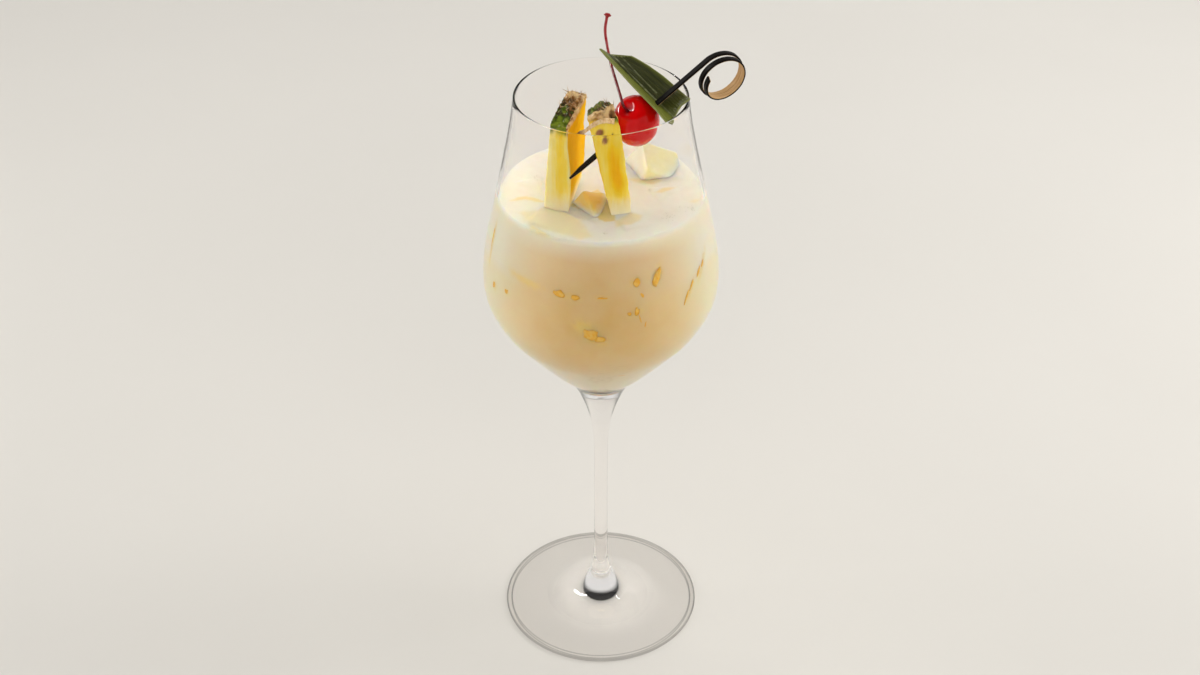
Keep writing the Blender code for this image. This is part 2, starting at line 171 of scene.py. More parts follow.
def skinBox(counts, shape):
    # the skin of a box of cells; cells crowd towards the box's edges
    places = [np.sin(np.linspace(-0.5, 0.5, n + 1) * pi) for n in counts]
    index, verts, params, faces = {}, [], [], []

    def corner(i, j, k):
        if (i, j, k) not in index:
            uvw = (places[0][i], places[1][j], places[2][k])
            index[i, j, k] = len(verts)
            verts.append(shape(*uvw))
            params.append(uvw)
        return index[i, j, k]

    for axis in range(3):
        first, second = [a for a in range(3) if a != axis]
        for side in (0, counts[axis]):
            for m in range(counts[first]):
                for n in range(counts[second]):
                    face = []
                    for dm, dn in ((0, 0), (1, 0), (1, 1), (0, 1)):
                        place = [0, 0, 0]
                        place[axis] = side
                        place[first] = m + dm
                        place[second] = n + dn
                        face.append(corner(*place))
                    faces.append(face)
    return np.array(verts), faces, np.array(params)


def tubeRings(points, radii, sides):
    rings = []
    side = Vector((1, 0, 0))
    points = [Vector(p) for p in points]
    for i, p in enumerate(points):
        along = wayAlong(points, i).normalized()
        side = (side - along * side.dot(along)).normalized()
        other = along.cross(side)
        rings.append([p + radii[i] * (cos(t) * side + sin(t) * other) for t in turnsOf(sides)])
    return rings


# nodes


def addNode(tree, kind, values=None, **settings):
    node = tree.nodes.new(kind)
    for key, value in settings.items():
        setattr(node, key, value)
    for key, value in (values or {}).items():
        if isinstance(value, bpy.types.NodeSocket):
            tree.links.new(value, node.inputs[key])
        else:
            node.inputs[key].default_value = value
    return node


def afterNode(socket, kind, values, **settings):
    # adds a node to the tree that the socket is in, and gives its first output
    return addNode(socket.id_data, kind, values, **settings).outputs[0]


def mathOf(operation, first, second=0.0):
    return afterNode(first, "ShaderNodeMath", {0: first, 1: second}, operation=operation)


def times(first, second):
    return mathOf("MULTIPLY", first, second)


def plus(first, second):
    return mathOf("ADD", first, second)


def swing(value, size):
    # a value from 0 to 1 made to go up and down round 0
    return times(mathOf("SUBTRACT", value, 0.5), size)


# Geometry Nodes


def nodeTree(name, inputs):
    tree = bpy.data.node_groups.new(name, "GeometryNodeTree")
    tree.interface.new_socket(name="Geometry", in_out="INPUT", socket_type="NodeSocketGeometry")
    for title, kind in inputs:
        tree.interface.new_socket(name=title, in_out="INPUT", socket_type=kind)
    tree.interface.new_socket(name="Geometry", in_out="OUTPUT", socket_type="NodeSocketGeometry")
    return tree, tree.nodes.new("NodeGroupInput").outputs, tree.nodes.new("NodeGroupOutput").inputs


def finishTree(tree, inside, outside, geometry):
    real = afterNode(geometry, "GeometryNodeRealizeInstances", {"Geometry": geometry})
    painted = afterNode(real, "GeometryNodeSetMaterial", {"Geometry": real, "Material": inside["Material"]})
    tree.links.new(painted, outside[0])
    return tree


def runTree(obj, tree, values):
    # runs a tree on the object once and keeps the plain mesh that it gives
    modifier = obj.modifiers.new(tree.name, "NODES")
    modifier.node_group = tree
    for item in tree.interface.items_tree:
        if item.in_out == "INPUT" and item.name in values:
            modifier[item.identifier] = values[item.name]
    bpy.context.view_layer.update()
    evaluated = obj.evaluated_get(bpy.context.evaluated_depsgraph_get())
    plain = bpy.data.meshes.new_from_object(evaluated)
    obj.modifiers.clear()
    obj.data = plain
    return obj


def makeTurningTree():
    # turns a profile, given as points of radius and height, round the Z axis
    tree, inside, outside = nodeTree("turnedProfile", [
        ("Segments", "NodeSocketInt"), ("Material", "NodeSocketMaterial")])
    profile, segments = inside["Geometry"], inside["Segments"]
    count = addNode(tree, "GeometryNodeAttributeDomainSize", {"Geometry": profile}).outputs["Point Count"]
    across = plus(segments, 1.0)
    grid = addNode(tree, "GeometryNodeMeshGrid", {"Vertices X": count, "Vertices Y": across}).outputs["Mesh"]
    index = addNode(tree, "GeometryNodeInputIndex").outputs[0]
    row, column = [addNode(tree, "FunctionNodeIntegerMath", {0: index, 1: across}, operation=kind).outputs[0]
                   for kind in ("DIVIDE_FLOOR", "MODULO")]
    place = addNode(tree, "GeometryNodeInputPosition").outputs[0]
    station = addNode(tree, "GeometryNodeSampleIndex", {"Geometry": profile, "Index": row, "Value": place},
                      data_type="FLOAT_VECTOR").outputs[0]
    split = addNode(tree, "ShaderNodeSeparateXYZ", {0: station}).outputs
    turn = times(mathOf("DIVIDE", column, segments), 2 * pi)
    x, y = [times(split["X"], mathOf(kind, turn)) for kind in ("COSINE", "SINE")]
    point = addNode(tree, "ShaderNodeCombineXYZ", {0: x, 1: y, 2: split["Z"]}).outputs[0]
    moved = addNode(tree, "GeometryNodeSetPosition", {"Geometry": grid, "Position": point}).outputs[0]
    merged = addNode(tree, "GeometryNodeMergeByDistance", {"Geometry": moved, "Distance": 1e-6}).outputs[0]
    smooth = addNode(tree, "GeometryNodeSetShadeSmooth", {"Geometry": merged}).outputs[0]
    return finishTree(tree, inside, outside, smooth)


def turned(name, profile, segments, material):
    mesh = bpy.data.meshes.new(name)
    points = [(r * 0.001, 0.0, z * 0.001) for r, z in np.asarray(profile, float)]
    mesh.from_pydata(points, [(i, i + 1) for i in range(len(points) - 1)], [])
    obj = linked(name, mesh)
    runTree(obj, turningTree, {"Segments": segments, "Material": material})
    return turnOutwards(obj)


def scatterTree(shape):
    # bubbles or fibres scattered over the faces where the named attribute is high
    tree, inside, outside = nodeTree("scattered" + shape, [
        ("Density", "NodeSocketFloat"), ("Seed", "NodeSocketInt"), ("Smallest", "NodeSocketFloat"),
        ("Largest", "NodeSocketFloat"), ("Material", "NodeSocketMaterial")])
    mask = addNode(tree, "GeometryNodeInputNamedAttribute", {"Name": "scatter"}, data_type="FLOAT").outputs[0]
    often = times(mask, inside["Density"])
    points = addNode(tree, "GeometryNodeDistributePointsOnFaces", {
        "Mesh": inside["Geometry"], "Density": often, "Seed": inside["Seed"]}).outputs
    if shape == "Bubbles":
        piece = addNode(tree, "GeometryNodeMeshIcoSphere", {"Radius": 1.0, "Subdivisions": 1})
        low, high = (0.0, 0.0, 0.0), (0.0, 0.0, 6.28)
    else:
        piece = addNode(tree, "GeometryNodeMeshCone", {
            "Vertices": 5, "Radius Top": 0.02, "Radius Bottom": 0.16, "Depth": 2.4})
        low, high = (-0.9, -0.9, 0.0), (0.9, 0.9, 6.28)
    size = addNode(tree, "FunctionNodeRandomValue", {"Min": inside["Smallest"], "Max": inside["Largest"]},
                   data_type="FLOAT").outputs[1]
    tilt = addNode(tree, "FunctionNodeRandomValue", {0: low, 1: high, "Seed": 7},
                   data_type="FLOAT_VECTOR").outputs[0]
    turn = addNode(tree, "FunctionNodeRotateRotation", {"Rotation": points["Rotation"], "Rotate By": tilt},
                   rotation_space="LOCAL").outputs[0]
    placed = addNode(tree, "GeometryNodeInstanceOnPoints", {
        "Points": points["Points"], "Instance": piece.outputs["Mesh"], "Rotation": turn, "Scale": size})
    return finishTree(tree, inside, outside, placed.outputs[0])


def scattered(name, base, mask, tree, values):
    # a copy of the base carries the mask, and the tree turns it into the scattered pieces
    obj = linked(name, base.data.copy())
    addLayers(obj.data, {"scatter": mask})
    runTree(obj, tree, values)
    obj.data.shade_smooth()
    return obj


turningTree = makeTurningTree()


# materials


def newMaterial(name, **sockets):
    material = bpy.data.materials.new(name)
    material.use_nodes = True
    shader = material.node_tree.nodes["Principled BSDF"]
    for title, value in sockets.items():
        shader.inputs[title.replace("_", " ")].default_value = value
    return material, material.node_tree, shader


def feed(shader, value, title="Base Color"):
    shader.id_data.links.new(value, shader.inputs[title])


def placeOf(tree, scale=None):
    # the place on the piece in metres, squeezed or flattened by a scale
    place = addNode(tree, "ShaderNodeTexCoord").outputs["Object"]
    if scale:
        place = addNode(tree, "ShaderNodeMapping", {"Vector": place, "Scale": scale}).outputs[0]
    return place


def axisOf(vector, axis):
    return addNode(vector.id_data, "ShaderNodeSeparateXYZ", {0: vector}).outputs[axis]


def stripPlace(tree, across, along):
    # a place on the UV map, with one of its axes across the fibres and the other along them
    strip = addNode(tree, "ShaderNodeUVMap", uv_map="UVMap").outputs[0]
    return afterNode(strip, "ShaderNodeCombineXYZ", {0: axisOf(strip, across), 2: axisOf(strip, along)})


def readLayer(tree, name):
    return addNode(tree, "ShaderNodeAttribute", attribute_name=name).outputs["Fac"]


def slantOf(tree):
    # low where a face is seen straight on, high where it is seen edge on
    return addNode(tree, "ShaderNodeLayerWeight", {"Blend": 0.35}).outputs["Facing"]


def noiseOf(vector, scale, detail=3.0):
    return afterNode(vector, "ShaderNodeTexNoise", {"Vector": vector, "Scale": scale, "Detail": detail})


def rampOf(factor, stops):
    node = addNode(factor.id_data, "ShaderNodeValToRGB", {"Fac": factor})
    elements = node.color_ramp.elements
    while len(elements) < len(stops):
        elements.new(0.5)
    for element, (place, colour) in zip(elements, stops):
        element.position = place
        element.color = (*colour, 1.0)
    return node.outputs["Color"]


def rangeOf(value, low, high, first=0.0, last=1.0):
    return afterNode(value, "ShaderNodeMapRange", {
        "Value": value, "From Min": low, "From Max": high, "To Min": first, "To Max": last})


def mixOf(factor, first, second):
    first, second = [c if isinstance(c, bpy.types.NodeSocket) else (*c, 1.0) for c in (first, second)]
    values = {0: factor, 6: first, 7: second}
    return addNode(factor.id_data, "ShaderNodeMix", values, data_type="RGBA").outputs[2]


def bumpTo(shader, height, strength, distance):
    values = {"Height": height, "Strength": strength, "Distance": distance}
    feed(shader, afterNode(height, "ShaderNodeBump", values), "Normal")


def groupOf(name, inputs, outputs):
    # a shared group of values; an input is a number, or None where it is a vector
    tree = bpy.data.node_groups.new(name, "ShaderNodeTree")
    for title, value in inputs.items():
        kind = "NodeSocketVector" if value is None else "NodeSocketFloat"
        socket = tree.interface.new_socket(name=title, in_out="INPUT", socket_type=kind)
        if value is not None:
            socket.default_value = value
    for title in outputs:
        tree.interface.new_socket(name=title, in_out="OUTPUT", socket_type="NodeSocketFloat")
    return tree, tree.nodes.new("NodeGroupInput").outputs, tree.nodes.new("NodeGroupOutput").inputs


def fibreGroup():
    # long thin fibres: Vector runs across in X and Y and along in Z
    tree, given, found = groupOf(
        "fibres", {"Vector": None, "Fine": 900.0, "Length": 0.08}, ["Fibre", "Patch"])
    squeeze = afterNode(given["Length"], "ShaderNodeCombineXYZ", {0: 1.0, 1: 1.0, 2: given["Length"]})
    drawn = afterNode(squeeze, "ShaderNodeVectorMath", {0: given["Vector"], 1: squeeze}, operation="MULTIPLY")
    fine = times(noiseOf(drawn, given["Fine"], 2.0), 0.55)
    broad = noiseOf(drawn, times(given["Fine"], 0.28), 2.0)
    total = afterNode(broad, "ShaderNodeMath", {0: broad, 1: 0.45, 2: fine}, operation="MULTIPLY_ADD")
    tree.links.new(total, found["Fibre"])
    tree.links.new(noiseOf(given["Vector"], 120.0), found["Patch"])
    return tree


def wetGroup():
    # wetness that comes and goes: a roughness value and a height of small drops and dents
    tree, given, found = groupOf(
        "wetness", {"Scale": 300.0, "Dry": 0.4, "Wet": 0.15}, ["Roughness", "Height"])
    place = placeOf(tree)
    patch = noiseOf(place, given["Scale"])
    tree.links.new(rangeOf(patch, 0.35, 0.65, given["Wet"], given["Dry"]), found["Roughness"])
    small = noiseOf(place, times(given["Scale"], 4.0), 2.0)
    tree.links.new(plus(patch, times(small, 0.35)), found["Height"])
    return tree


fibres = fibreGroup()
wetness = wetGroup()


def threadsOf(vector, fine, length):
    values = {"Vector": vector, "Fine": fine, "Length": length}
    return addNode(vector.id_data, "ShaderNodeGroup", values, node_tree=fibres).outputs


def dampen(shader, scale, dry, wet):
    # takes the roughness from the wetness and gives back its height
    values = {"Scale": scale, "Dry": dry, "Wet": wet}
    damp = addNode(shader.id_data, "ShaderNodeGroup", values, node_tree=wetness).outputs
    feed(shader, damp["Roughness"], "Roughness")
    return damp["Height"]


def wetFinish(shader, scale, dry, wet, strength, distance):
    bumpTo(shader, dampen(shader, scale, dry, wet), strength, distance)


def creamFilm(place, uneven, high, low, most=1.0):
    # cream on what stands in the drink, fading out between two heights above its level
    lap = plus(axisOf(place, "Z"), times(noiseOf(place, 330.0), uneven))
    level = drink["level"] * 0.001
    return rangeOf(lap, level + high, level + low, 0.0, most)


def letLampsThrough(tree, shader, thin, thick):
    # lamps also light what stands in and behind the glass; its edges, seen end on, hold more back
    shade = mixOf(rangeOf(slantOf(tree), 0.6, 0.97), thin, thick)
    clear = afterNode(shade, "ShaderNodeBsdfTransparent", {"Color": shade})
    shadow = addNode(tree, "ShaderNodeLightPath").outputs["Is Shadow Ray"]
    both = afterNode(clear, "ShaderNodeMixShader", {0: shadow, 1: shader.outputs[0], 2: clear})
    feed(tree.nodes["Material Output"], both, "Surface")


# glass

glass = {
    "segments": 256, "footRadius": 41.0, "footEdge": 1.5, "wall": 1.2, "rimWall": 0.75,
    # the wall thins between two heights; its inner side follows the outer down to one, then the floor line
    "thinning": (212.0, 240.0), "innerFrom": 126.0, "underRadius": 20.0,
    "footLine": [(40.1, 1.52), (34.0, 1.95), (25.0, 2.9), (17.5, 4.3), (12.4, 6.3), (8.6, 9.2), (5.6, 13.4),
                 (3.7, 19.0), (3.0, 26.0), (2.8, 40.0)],
    "neckLine": [(2.8, 62.0), (2.95, 84.0), (3.6, 92.5), (4.9, 99.8), (6.9, 106.4), (9.4, 112.6)],
    "bowlLine": [(12.9, 118.2), (19.4, 124.6), (25.2, 131.0), (31.4, 138.2), (38.6, 147.2), (43.9, 158.0),
                 (45.2, 169.0), (43.7, 182.0), (40.7, 196.0), (37.2, 212.0), (33.9, 228.0), (31.8, 241.8)],
    "floorLine": [(12.0, 120.3), (7.4, 116.9), (3.6, 115.1), (0.0, 114.6)],
    # in metres: the height where the bowl starts, the greatest heights of the flat of the foot and of its
    # underside, and the radii outside which each is flat
    "bowlFrom": 0.121, "footTop": 0.004, "footUnder": 0.0002, "flatUnder": 0.020, "flatTop": 0.023,
    "tint": (0.995, 0.98, 0.972), "edgeTint": (1.0, 0.986, 0.981),
}


def glassOuter():
    edge = glass["footEdge"] / 2
    run = []
    for angle in range(-90, 90, 15):
        turn = radians(angle)
        run.append(np.array([glass["footRadius"] - edge + edge * cos(turn), edge + edge * sin(turn)]))
    line = glass["footLine"] + glass["neckLine"]
    run += smoothRun(line, 5)
    run += smoothRun([line[-1], *glass["bowlLine"]], 6)[1:]
    return run


def glassInner(outer):
    walls = [p for p in outer if p[1] > glass["innerFrom"]]
    full, thin = offsetRun(walls, glass["wall"]), offsetRun(walls, glass["rimWall"])
    shares = [np.interp(p[1], glass["thinning"], (0.0, 1.0)) for p in walls]
    run = [a * (1 - share) + b * share for a, b, share in zip(full, thin, shares)][::-1]
    low = smoothRun([run[-8], run[-1], *glass["floorLine"]], 6)[7:]
    low[-1] = np.array(glass["floorLine"][-1])
    return run + [np.array([max(0.0, p[0]), p[1]]) for p in low]


def makeClearGlass(name, bend, thin, thick):
    material, tree, shader = newMaterial(
        name, Base_Color=(*glass["tint"], 1), Transmission_Weight=1.0, IOR=bend, Roughness=0.0)
    if name == "clearGlass":
        # painted shade: the flared neck's colour is darkened almost to black along its outline, where it is
        # seen edge on
        height = axisOf(placeOf(tree), "Z")
        neck = times(rangeOf(height, 0.098, 0.102), rangeOf(height, 0.121, 0.1195))
        outline = times(neck, rangeOf(slantOf(tree), 0.52, 0.68))
        feed(shader, mixOf(outline, glass["tint"], (0.02, 0.02, 0.018)))
    elif name == "edgeGlass":
        # painted shade: two thin grey lines are painted round the edge of the foot, standing in for the dark
        # lines that its rounded edge shows
        flat = placeOf(tree, (1, 1, 0))
        reach = addNode(tree, "ShaderNodeVectorMath", {0: flat}, operation="LENGTH").outputs["Value"]
        inner = times(rangeOf(reach, 0.0383, 0.0387), rangeOf(reach, 0.0392, 0.0388))
        lines = mathOf("MAXIMUM", rangeOf(reach, 0.0402, 0.0406), inner)
        feed(shader, mixOf(lines, glass["edgeTint"], (0.47, 0.46, 0.45)))
    # blown glass is very slightly uneven
    bumpTo(shader, noiseOf(placeOf(tree, (1, 1, 0.5)), 28.0, 1.0), 0.05, 0.0006)
    letLampsThrough(tree, shader, (thin, thin * 1.004, thin), (thick, thick * 1.01, thick))
    return material


outerLine = glassOuter()
innerLine = glassInner(outerLine)
rimCentre = (outerLine[-1] + innerLine[0]) / 2
rimLine = [rimCentre + glass["rimWall"] / 2 * np.array([cos(radians(a)), sin(radians(a))])
           for a in range(20, 180, 20)]
underLine = [np.zeros(2), np.array([glass["underRadius"], 0.0])]
wineGlass = turned("wineGlass", [*underLine, *outerLine, *rimLine, *innerLine],
                   glass["segments"], makeClearGlass("clearGlass", 1.46, 0.925, 0.6))
# the thin bowl and the flat of the foot hardly bend the light
bowlSlot = len(wineGlass.data.materials)
edgeSlot = bowlSlot + 1
wineGlass.data.materials.append(makeClearGlass("bowlGlass", 1.17, 0.985, 0.75))
wineGlass.data.materials.append(makeClearGlass("edgeGlass", 1.08, 1.0, 0.75))
for polygon in wineGlass.data.polygons:
    x, y, z = polygon.center
    flatFrom = glass["flatUnder"] if z < glass["footUnder"] else glass["flatTop"]
    if z > glass["bowlFrom"]:
        polygon.material_index = bowlSlot
    elif z < glass["footTop"] and hypot(x, y) > flatFrom:
        polygon.material_index = edgeSlot
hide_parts("glass")
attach(wineGlass, "root")
print("glass made")


# drink

drink = {
    # in mm; reach is how far the drink laps into the wall of the glass
    "level": 203.0, "reach": 0.15, "creep": 0.06, "creepWidth": 1.4, "segments": 288,
    # height and size of the top's slow swells and of its fine ones, which sink near the wall to a least share
    "swells": (0.34, 9.0), "fineSwells": (0.05, 2.2), "sinkWidth": 2.5, "leastSwell": 0.25,
    # the wall rises with the top from this far below it, spread over this height
    "rimBelow": 1.2, "rimSpread": 1.6,
    "layerHeight": 181.5, "layerWave": 1.6,
    # soft flecks in the cream: turn in degrees, height, half length, half width, tilt in degrees, strength
    "flecks": [
        (-163, 187, 0.8, 8.0, 0, 0.5), (-153, 173.4, 2.0, 1.2, 70, 0.35), (-130.5, 183.3, 7.0, 1.3, -4, 0.5),
        (-142, 175.1, 1.3, 0.9, 0, 0.4), (-110, 182.3, 3.0, 1.4, -12, 0.5),
        (-102.5, 182.2, 2.4, 1.1, 0, 0.45), (-89.5, 182.4, 2.6, 0.6, 0, 0.4),
        (-73, 187.6, 2.0, 1.3, 30, 0.55), (-60.8, 188.0, 3.6, 1.5, 62, 0.6),
        (-72.8, 175.9, 1.8, 1.4, 0, 0.5), (-97, 169.6, 4.4, 2.6, -28, 0.6), (-92, 165.2, 3.6, 1.8, -20, 0.6),
        (-41.5, 177, 4.6, 0.8, 52, 0.5), (-30, 182.5, 5.4, 1.1, 50, 0.45)],
    "backFlecks": 16,
    # chips against the glass: turn in degrees, height, half length, half width, tilt in degrees
    "chips": [
        (-154.1, 173.4, 1.5, 0.9, 75), (-142.3, 175.1, 1.1, 0.9, 20), (-110.6, 182.6, 2.5, 1.5, -16),
        (-102.8, 182.1, 1.7, 1.2, 8), (-89.5, 182.3, 2.1, 0.35, 0), (-72.2, 187.2, 2.0, 1.35, 78),
        (-61.2, 187.2, 3.2, 1.45, 66), (-69.7, 182.0, 1.1, 0.45, -55), (-72.6, 176.0, 1.8, 0.95, 85),
        (-76.4, 175.6, 0.8, 0.75, 10), (-71.2, 172.9, 1.7, 0.25, -75), (-68.6, 170.2, 1.3, 0.25, -100),
        (-95.2, 167.6, 3.5, 2.3, -26), (-91.2, 165.6, 2.7, 1.5, -8), (-76.7, 141.4, 1.5, 0.42, -4),
        (-44.4, 175.2, 2.8, 0.45, 58), (-40.0, 178.8, 2.8, 0.55, 54), (-33.5, 181.9, 2.6, 0.6, 52),
        (-164.0, 190.0, 0.45, 5.8, 0), (-29.0, 183.6, 2.0, 0.5, 52)],
    # ice that shows through the top: strength, softness in mm, outline in mm
    "patches": [
        (0.92, 0.12, [(-11.4, -13.4), (-7.7, -5.8), (-1.3, 0.1), (0.6, -3.8), (5.0, -19.1), (5.2, -22.7),
                      (1.8, -23.4), (-4.4, -19.1), (-7.0, -15.3)]),
        (0.55, 0.25, [(5.0, -22.7), (10.6, -18.0), (14.9, -18.8), (14.1, -22.4), (10.4, -26.4),
                      (5.5, -27.1)]),
        (0.70, 0.15, [(-33.4, -8.3), (-30.7, -5.9), (-27.5, -5.4), (-23.3, -7.2), (-20.3, -9.6),
                      (-23.2, -9.6), (-27.7, -7.4)]),
        (0.62, 0.15, [(20.0, -3.2), (23.5, 0.1), (28.3, 1.4), (25.7, -1.1), (22.6, -3.3)]),
        (0.45, 0.3, [(32.4, -8.5), (34.3, -7.0), (36.2, -7.4), (34.2, -10.0)]),
        (0.48, 0.5, [(-29.5, -16.6), (-20.5, -15.3), (-14.9, -17.3), (-9.4, -21.6), (-5.8, -27.3),
                     (-3.2, -33.6), (-7.5, -36.1), (-12.9, -32.2), (-20.1, -29.4), (-25.6, -26.6)]),
        (0.62, 0.25, [(-26.1, -27.3), (-24.1, -26.6), (-19.1, -32.2), (-12.8, -41.2), (-14.5, -41.9),
                      (-19.2, -35.7)]),
        (0.5, 0.25, [(8.0, 8.6), (14.0, 5.2), (20.0, 4.0), (24.0, 6.5), (20.0, 7.2), (13.0, 7.6)])],
    # place, radius and thickness of the burst bubble
    "ringBubble": (1.6, -31.4, 0.75, 0.13),
    # cream piled round what stands in it, and the film over ice that lies flush, in mm
    "pile": 0.5, "pileWidth": 1.6, "film": 0.15,
}


def wallRadius(height):
    radii, heights = zip(*innerLine[::-1])
    return float(np.interp(height, heights, radii))


def allFlecks():
    # the ones that the front shows, then a few more round the back
    rng = np.random.default_rng(11)
    more = []
    for k in range(drink["backFlecks"]):
        turn = 5 + 170 * (k + rng.uniform(0.1, 0.9)) / drink["backFlecks"]
        more.append((turn, rng.uniform(165, 189), rng.uniform(1.5, 4.5), rng.uniform(0.8, 1.9),
                     rng.uniform(-50, 50), rng.uniform(0.45, 0.95)))
    return drink["flecks"] + more


def fleckMask(points, soft):
    turns = np.degrees(np.arctan2(points[:, 1], points[:, 0]))
    radii = np.hypot(points[:, 0], points[:, 1])
    mask = np.zeros(len(points))
    for k, (turn, height, longer, shorter, tilt, strength) in enumerate(allFlecks()):
        across = np.radians((turns - turn + 180) % 360 - 180) * radii
        up = points[:, 2] - height
        c, s = cos(radians(tilt)), sin(radians(tilt))
        along, other = across * c + up * s, up * c - across * s
        near = np.flatnonzero((np.abs(along) < longer * 2.4 + 3) & (np.abs(other) < shorter * 2.4 + 3))
        for i in near:
            ragged = 1 + 0.35 * grain(points[i], 1.7, 2, k * 1.3)
            away = hypot(along[i] / longer, other[i] / shorter) / ragged
            mask[i] = max(mask[i], strength / (1 + exp((away - 1) * soft)))
    return mask


def topHeight(x, y):
    # the smooth top: slow swells, and a little cream piled round what stands in it
    radius = hypot(x, y)
    edge = wallRadius(drink["level"])
    p = (x, y, 0.0)
    high, size = drink["swells"]
    fineHigh, fineSize = drink["fineSwells"]
    swell = high * grain(p, size, 2, 3.1) + fineHigh * grain(p, fineSize, 2, 1.7)
    lift = drink["creep"] * exp(-(edge - radius) / drink["creepWidth"])
    place = Vector((x, y, drink["level"] + 0.5))
    for tree in standing:
        away = tree.find_nearest(place)[3]
        lift += drink["pile"] * bell(away, drink["pileWidth"])
    height = swell * min(1.0, (edge - radius) / drink["sinkWidth"] + drink["leastSwell"]) + lift
    for tree in flush:
        # a film of cream lies over the ice that only just reaches the top
        hit = tree.ray_cast(Vector((x, y, drink["level"] + 30)), Vector((0, 0, -1)))[0]
        if hit:
            height = max(height, hit.z - drink["level"] + drink["film"])
    return height


def makeCreamDrink():
    material, tree, shader = newMaterial(
        "creamDrink", Roughness=0.42, IOR=1.36, Specular_IOR_Level=0.3, Subsurface_Weight=1.0,
        Subsurface_Radius=(1.0, 0.72, 0.38), Subsurface_Scale=0.006)
    place = placeOf(tree)
    height = axisOf(place, "Z")
    uneven = swing(noiseOf(place, 45.0, 2.0), drink["layerWave"] * 0.004)
    layer = rangeOf(plus(height, uneven), drink["layerHeight"] * 0.001 - 0.0022,
                    drink["layerHeight"] * 0.001 + 0.0016)
    side = mixOf(layer, (0.99, 0.845, 0.575), (0.99, 0.87, 0.69))
    side = mixOf(rangeOf(height, 0.191, 0.202), side, (0.99, 0.86, 0.68))
    # painted shade: the front of the side, away from the light, is painted the deepest, darkest tan
    depth = axisOf(place, "Y")
    paintedFrontShade = times(rangeOf(depth, -0.020, -0.044), rangeOf(height, 0.2015, 0.195))
    side = mixOf(times(paintedFrontShade, 0.92), side, (0.84, 0.565, 0.20))
    side = mixOf(rangeOf(height, 0.150, 0.118), side, (0.93, 0.79, 0.60))
    cloud = rangeOf(noiseOf(place, 90.0, 4.0), 0.3, 0.7, 0.0, 0.25)
    side = mixOf(cloud, side, (0.96, 0.83, 0.58))
    froth = rangeOf(noiseOf(place, 300.0), 0.35, 0.7)
    top = mixOf(froth, (0.94, 0.855, 0.71), (0.96, 0.885, 0.755))
    # painted light: the front of the top, which lies in shade, is painted paler
    top = mixOf(rangeOf(depth, 0.005, -0.030), top, (0.99, 0.925, 0.80))
    body = mixOf(readLayer(tree, "top"), side, top)
    body = mixOf(readLayer(tree, "amber"), body, (0.96, 0.74, 0.30))
    halo = mixOf(noiseOf(place, 500.0, 2.0), (0.96, 0.66, 0.18), (0.96, 0.75, 0.32))
    fleck = mathOf("MINIMUM", times(readLayer(tree, "fleck"), 1.6), 0.95)
    feed(shader, mixOf(fleck, body, halo))
    fine = times(noiseOf(place, 1500.0), readLayer(tree, "top"))
    bumpTo(shader, fine, 0.12, 0.0002)
    return material


edgeRadius = wallRadius(drink["level"]) + drink["reach"]
wallLine = [p + np.array([drink["reach"], -drink["reach"] * 0.3]) for p in innerLine
            if p[1] < drink["level"] + 0.4]
wallLine = smoothRun(wallLine, 2)
wallLine[-1] = np.array([0.0, innerLine[-1][1] - drink["reach"]])
topLine = [np.array([r, drink["level"]]) for r in np.linspace(0, edgeRadius - 0.02, 70)]
pinaColada = turned("pinaColada", [*topLine, *wallLine], drink["segments"], makeCreamDrink())


def insideOf(points, outline):
    # distance into the outline, less than nothing outside it
    corners = np.array(outline, float)
    inside = np.zeros(len(points), bool)
    away = np.full(len(points), 1e9)
    for a, b in zip(corners, np.roll(corners, -1, axis=0)):
        along = b - a
        share = np.clip(((points - a) @ along) / (along @ along), 0, 1)
        away = np.minimum(away, np.hypot(*(points - a - share[:, None] * along).T))
        crosses = (a[1] > points[:, 1]) != (b[1] > points[:, 1])
        slope = np.where(crosses, (points[:, 1] - a[1]) / (b[1] - a[1] + 1e-9), 0)
        inside ^= crosses & (points[:, 0] < a[0] + slope * along[0])
    return np.where(inside, away, -away)


def amberMask(points):
    # ice just under the top shows through the cream
    mask = np.zeros(len(points))
    ragged = np.array([grain((x, y, 0), 1.6, 3, 6.0) for x, y, z in points])
    for strength, soft, outline in drink["patches"]:
        depth = insideOf(points[:, :2], outline)
        mask = np.maximum(mask, strength / (1 + np.exp(-np.clip((depth + 0.35 * ragged) / soft, -30, 30))))
    return mask


def shapeDrink(mesh):
    # gives the drink its relief and its layers
    points = pointsOf(mesh)
    top = np.abs(points[:, 2] - drink["level"]) < 1e-3
    for i in np.flatnonzero(top):
        points[i, 2] += topHeight(points[i, 0], points[i, 1])
    # the wall just under the top rises with it
    rim = (~top) & (points[:, 2] > drink["level"] - drink["rimBelow"])
    for i in np.flatnonzero(rim):
        share = (points[i, 2] - drink["level"] + drink["rimBelow"]) / drink["rimSpread"]
        points[i, 2] += share * topHeight(*(points[i, :2] * (edgeRadius - 0.1) / np.hypot(*points[i, :2])))
    mesh.vertices.foreach_set("co", (points * 0.001).ravel())
    amber = np.zeros(len(points))
    amber[top] = amberMask(points[top])
    fleck = np.where(top, 0, fleckMask(points, 5.0))
    addLayers(mesh, {"top": top.astype(float), "fleck": fleck, "amber": amber})
    mesh.update()
    return points, top


# ice

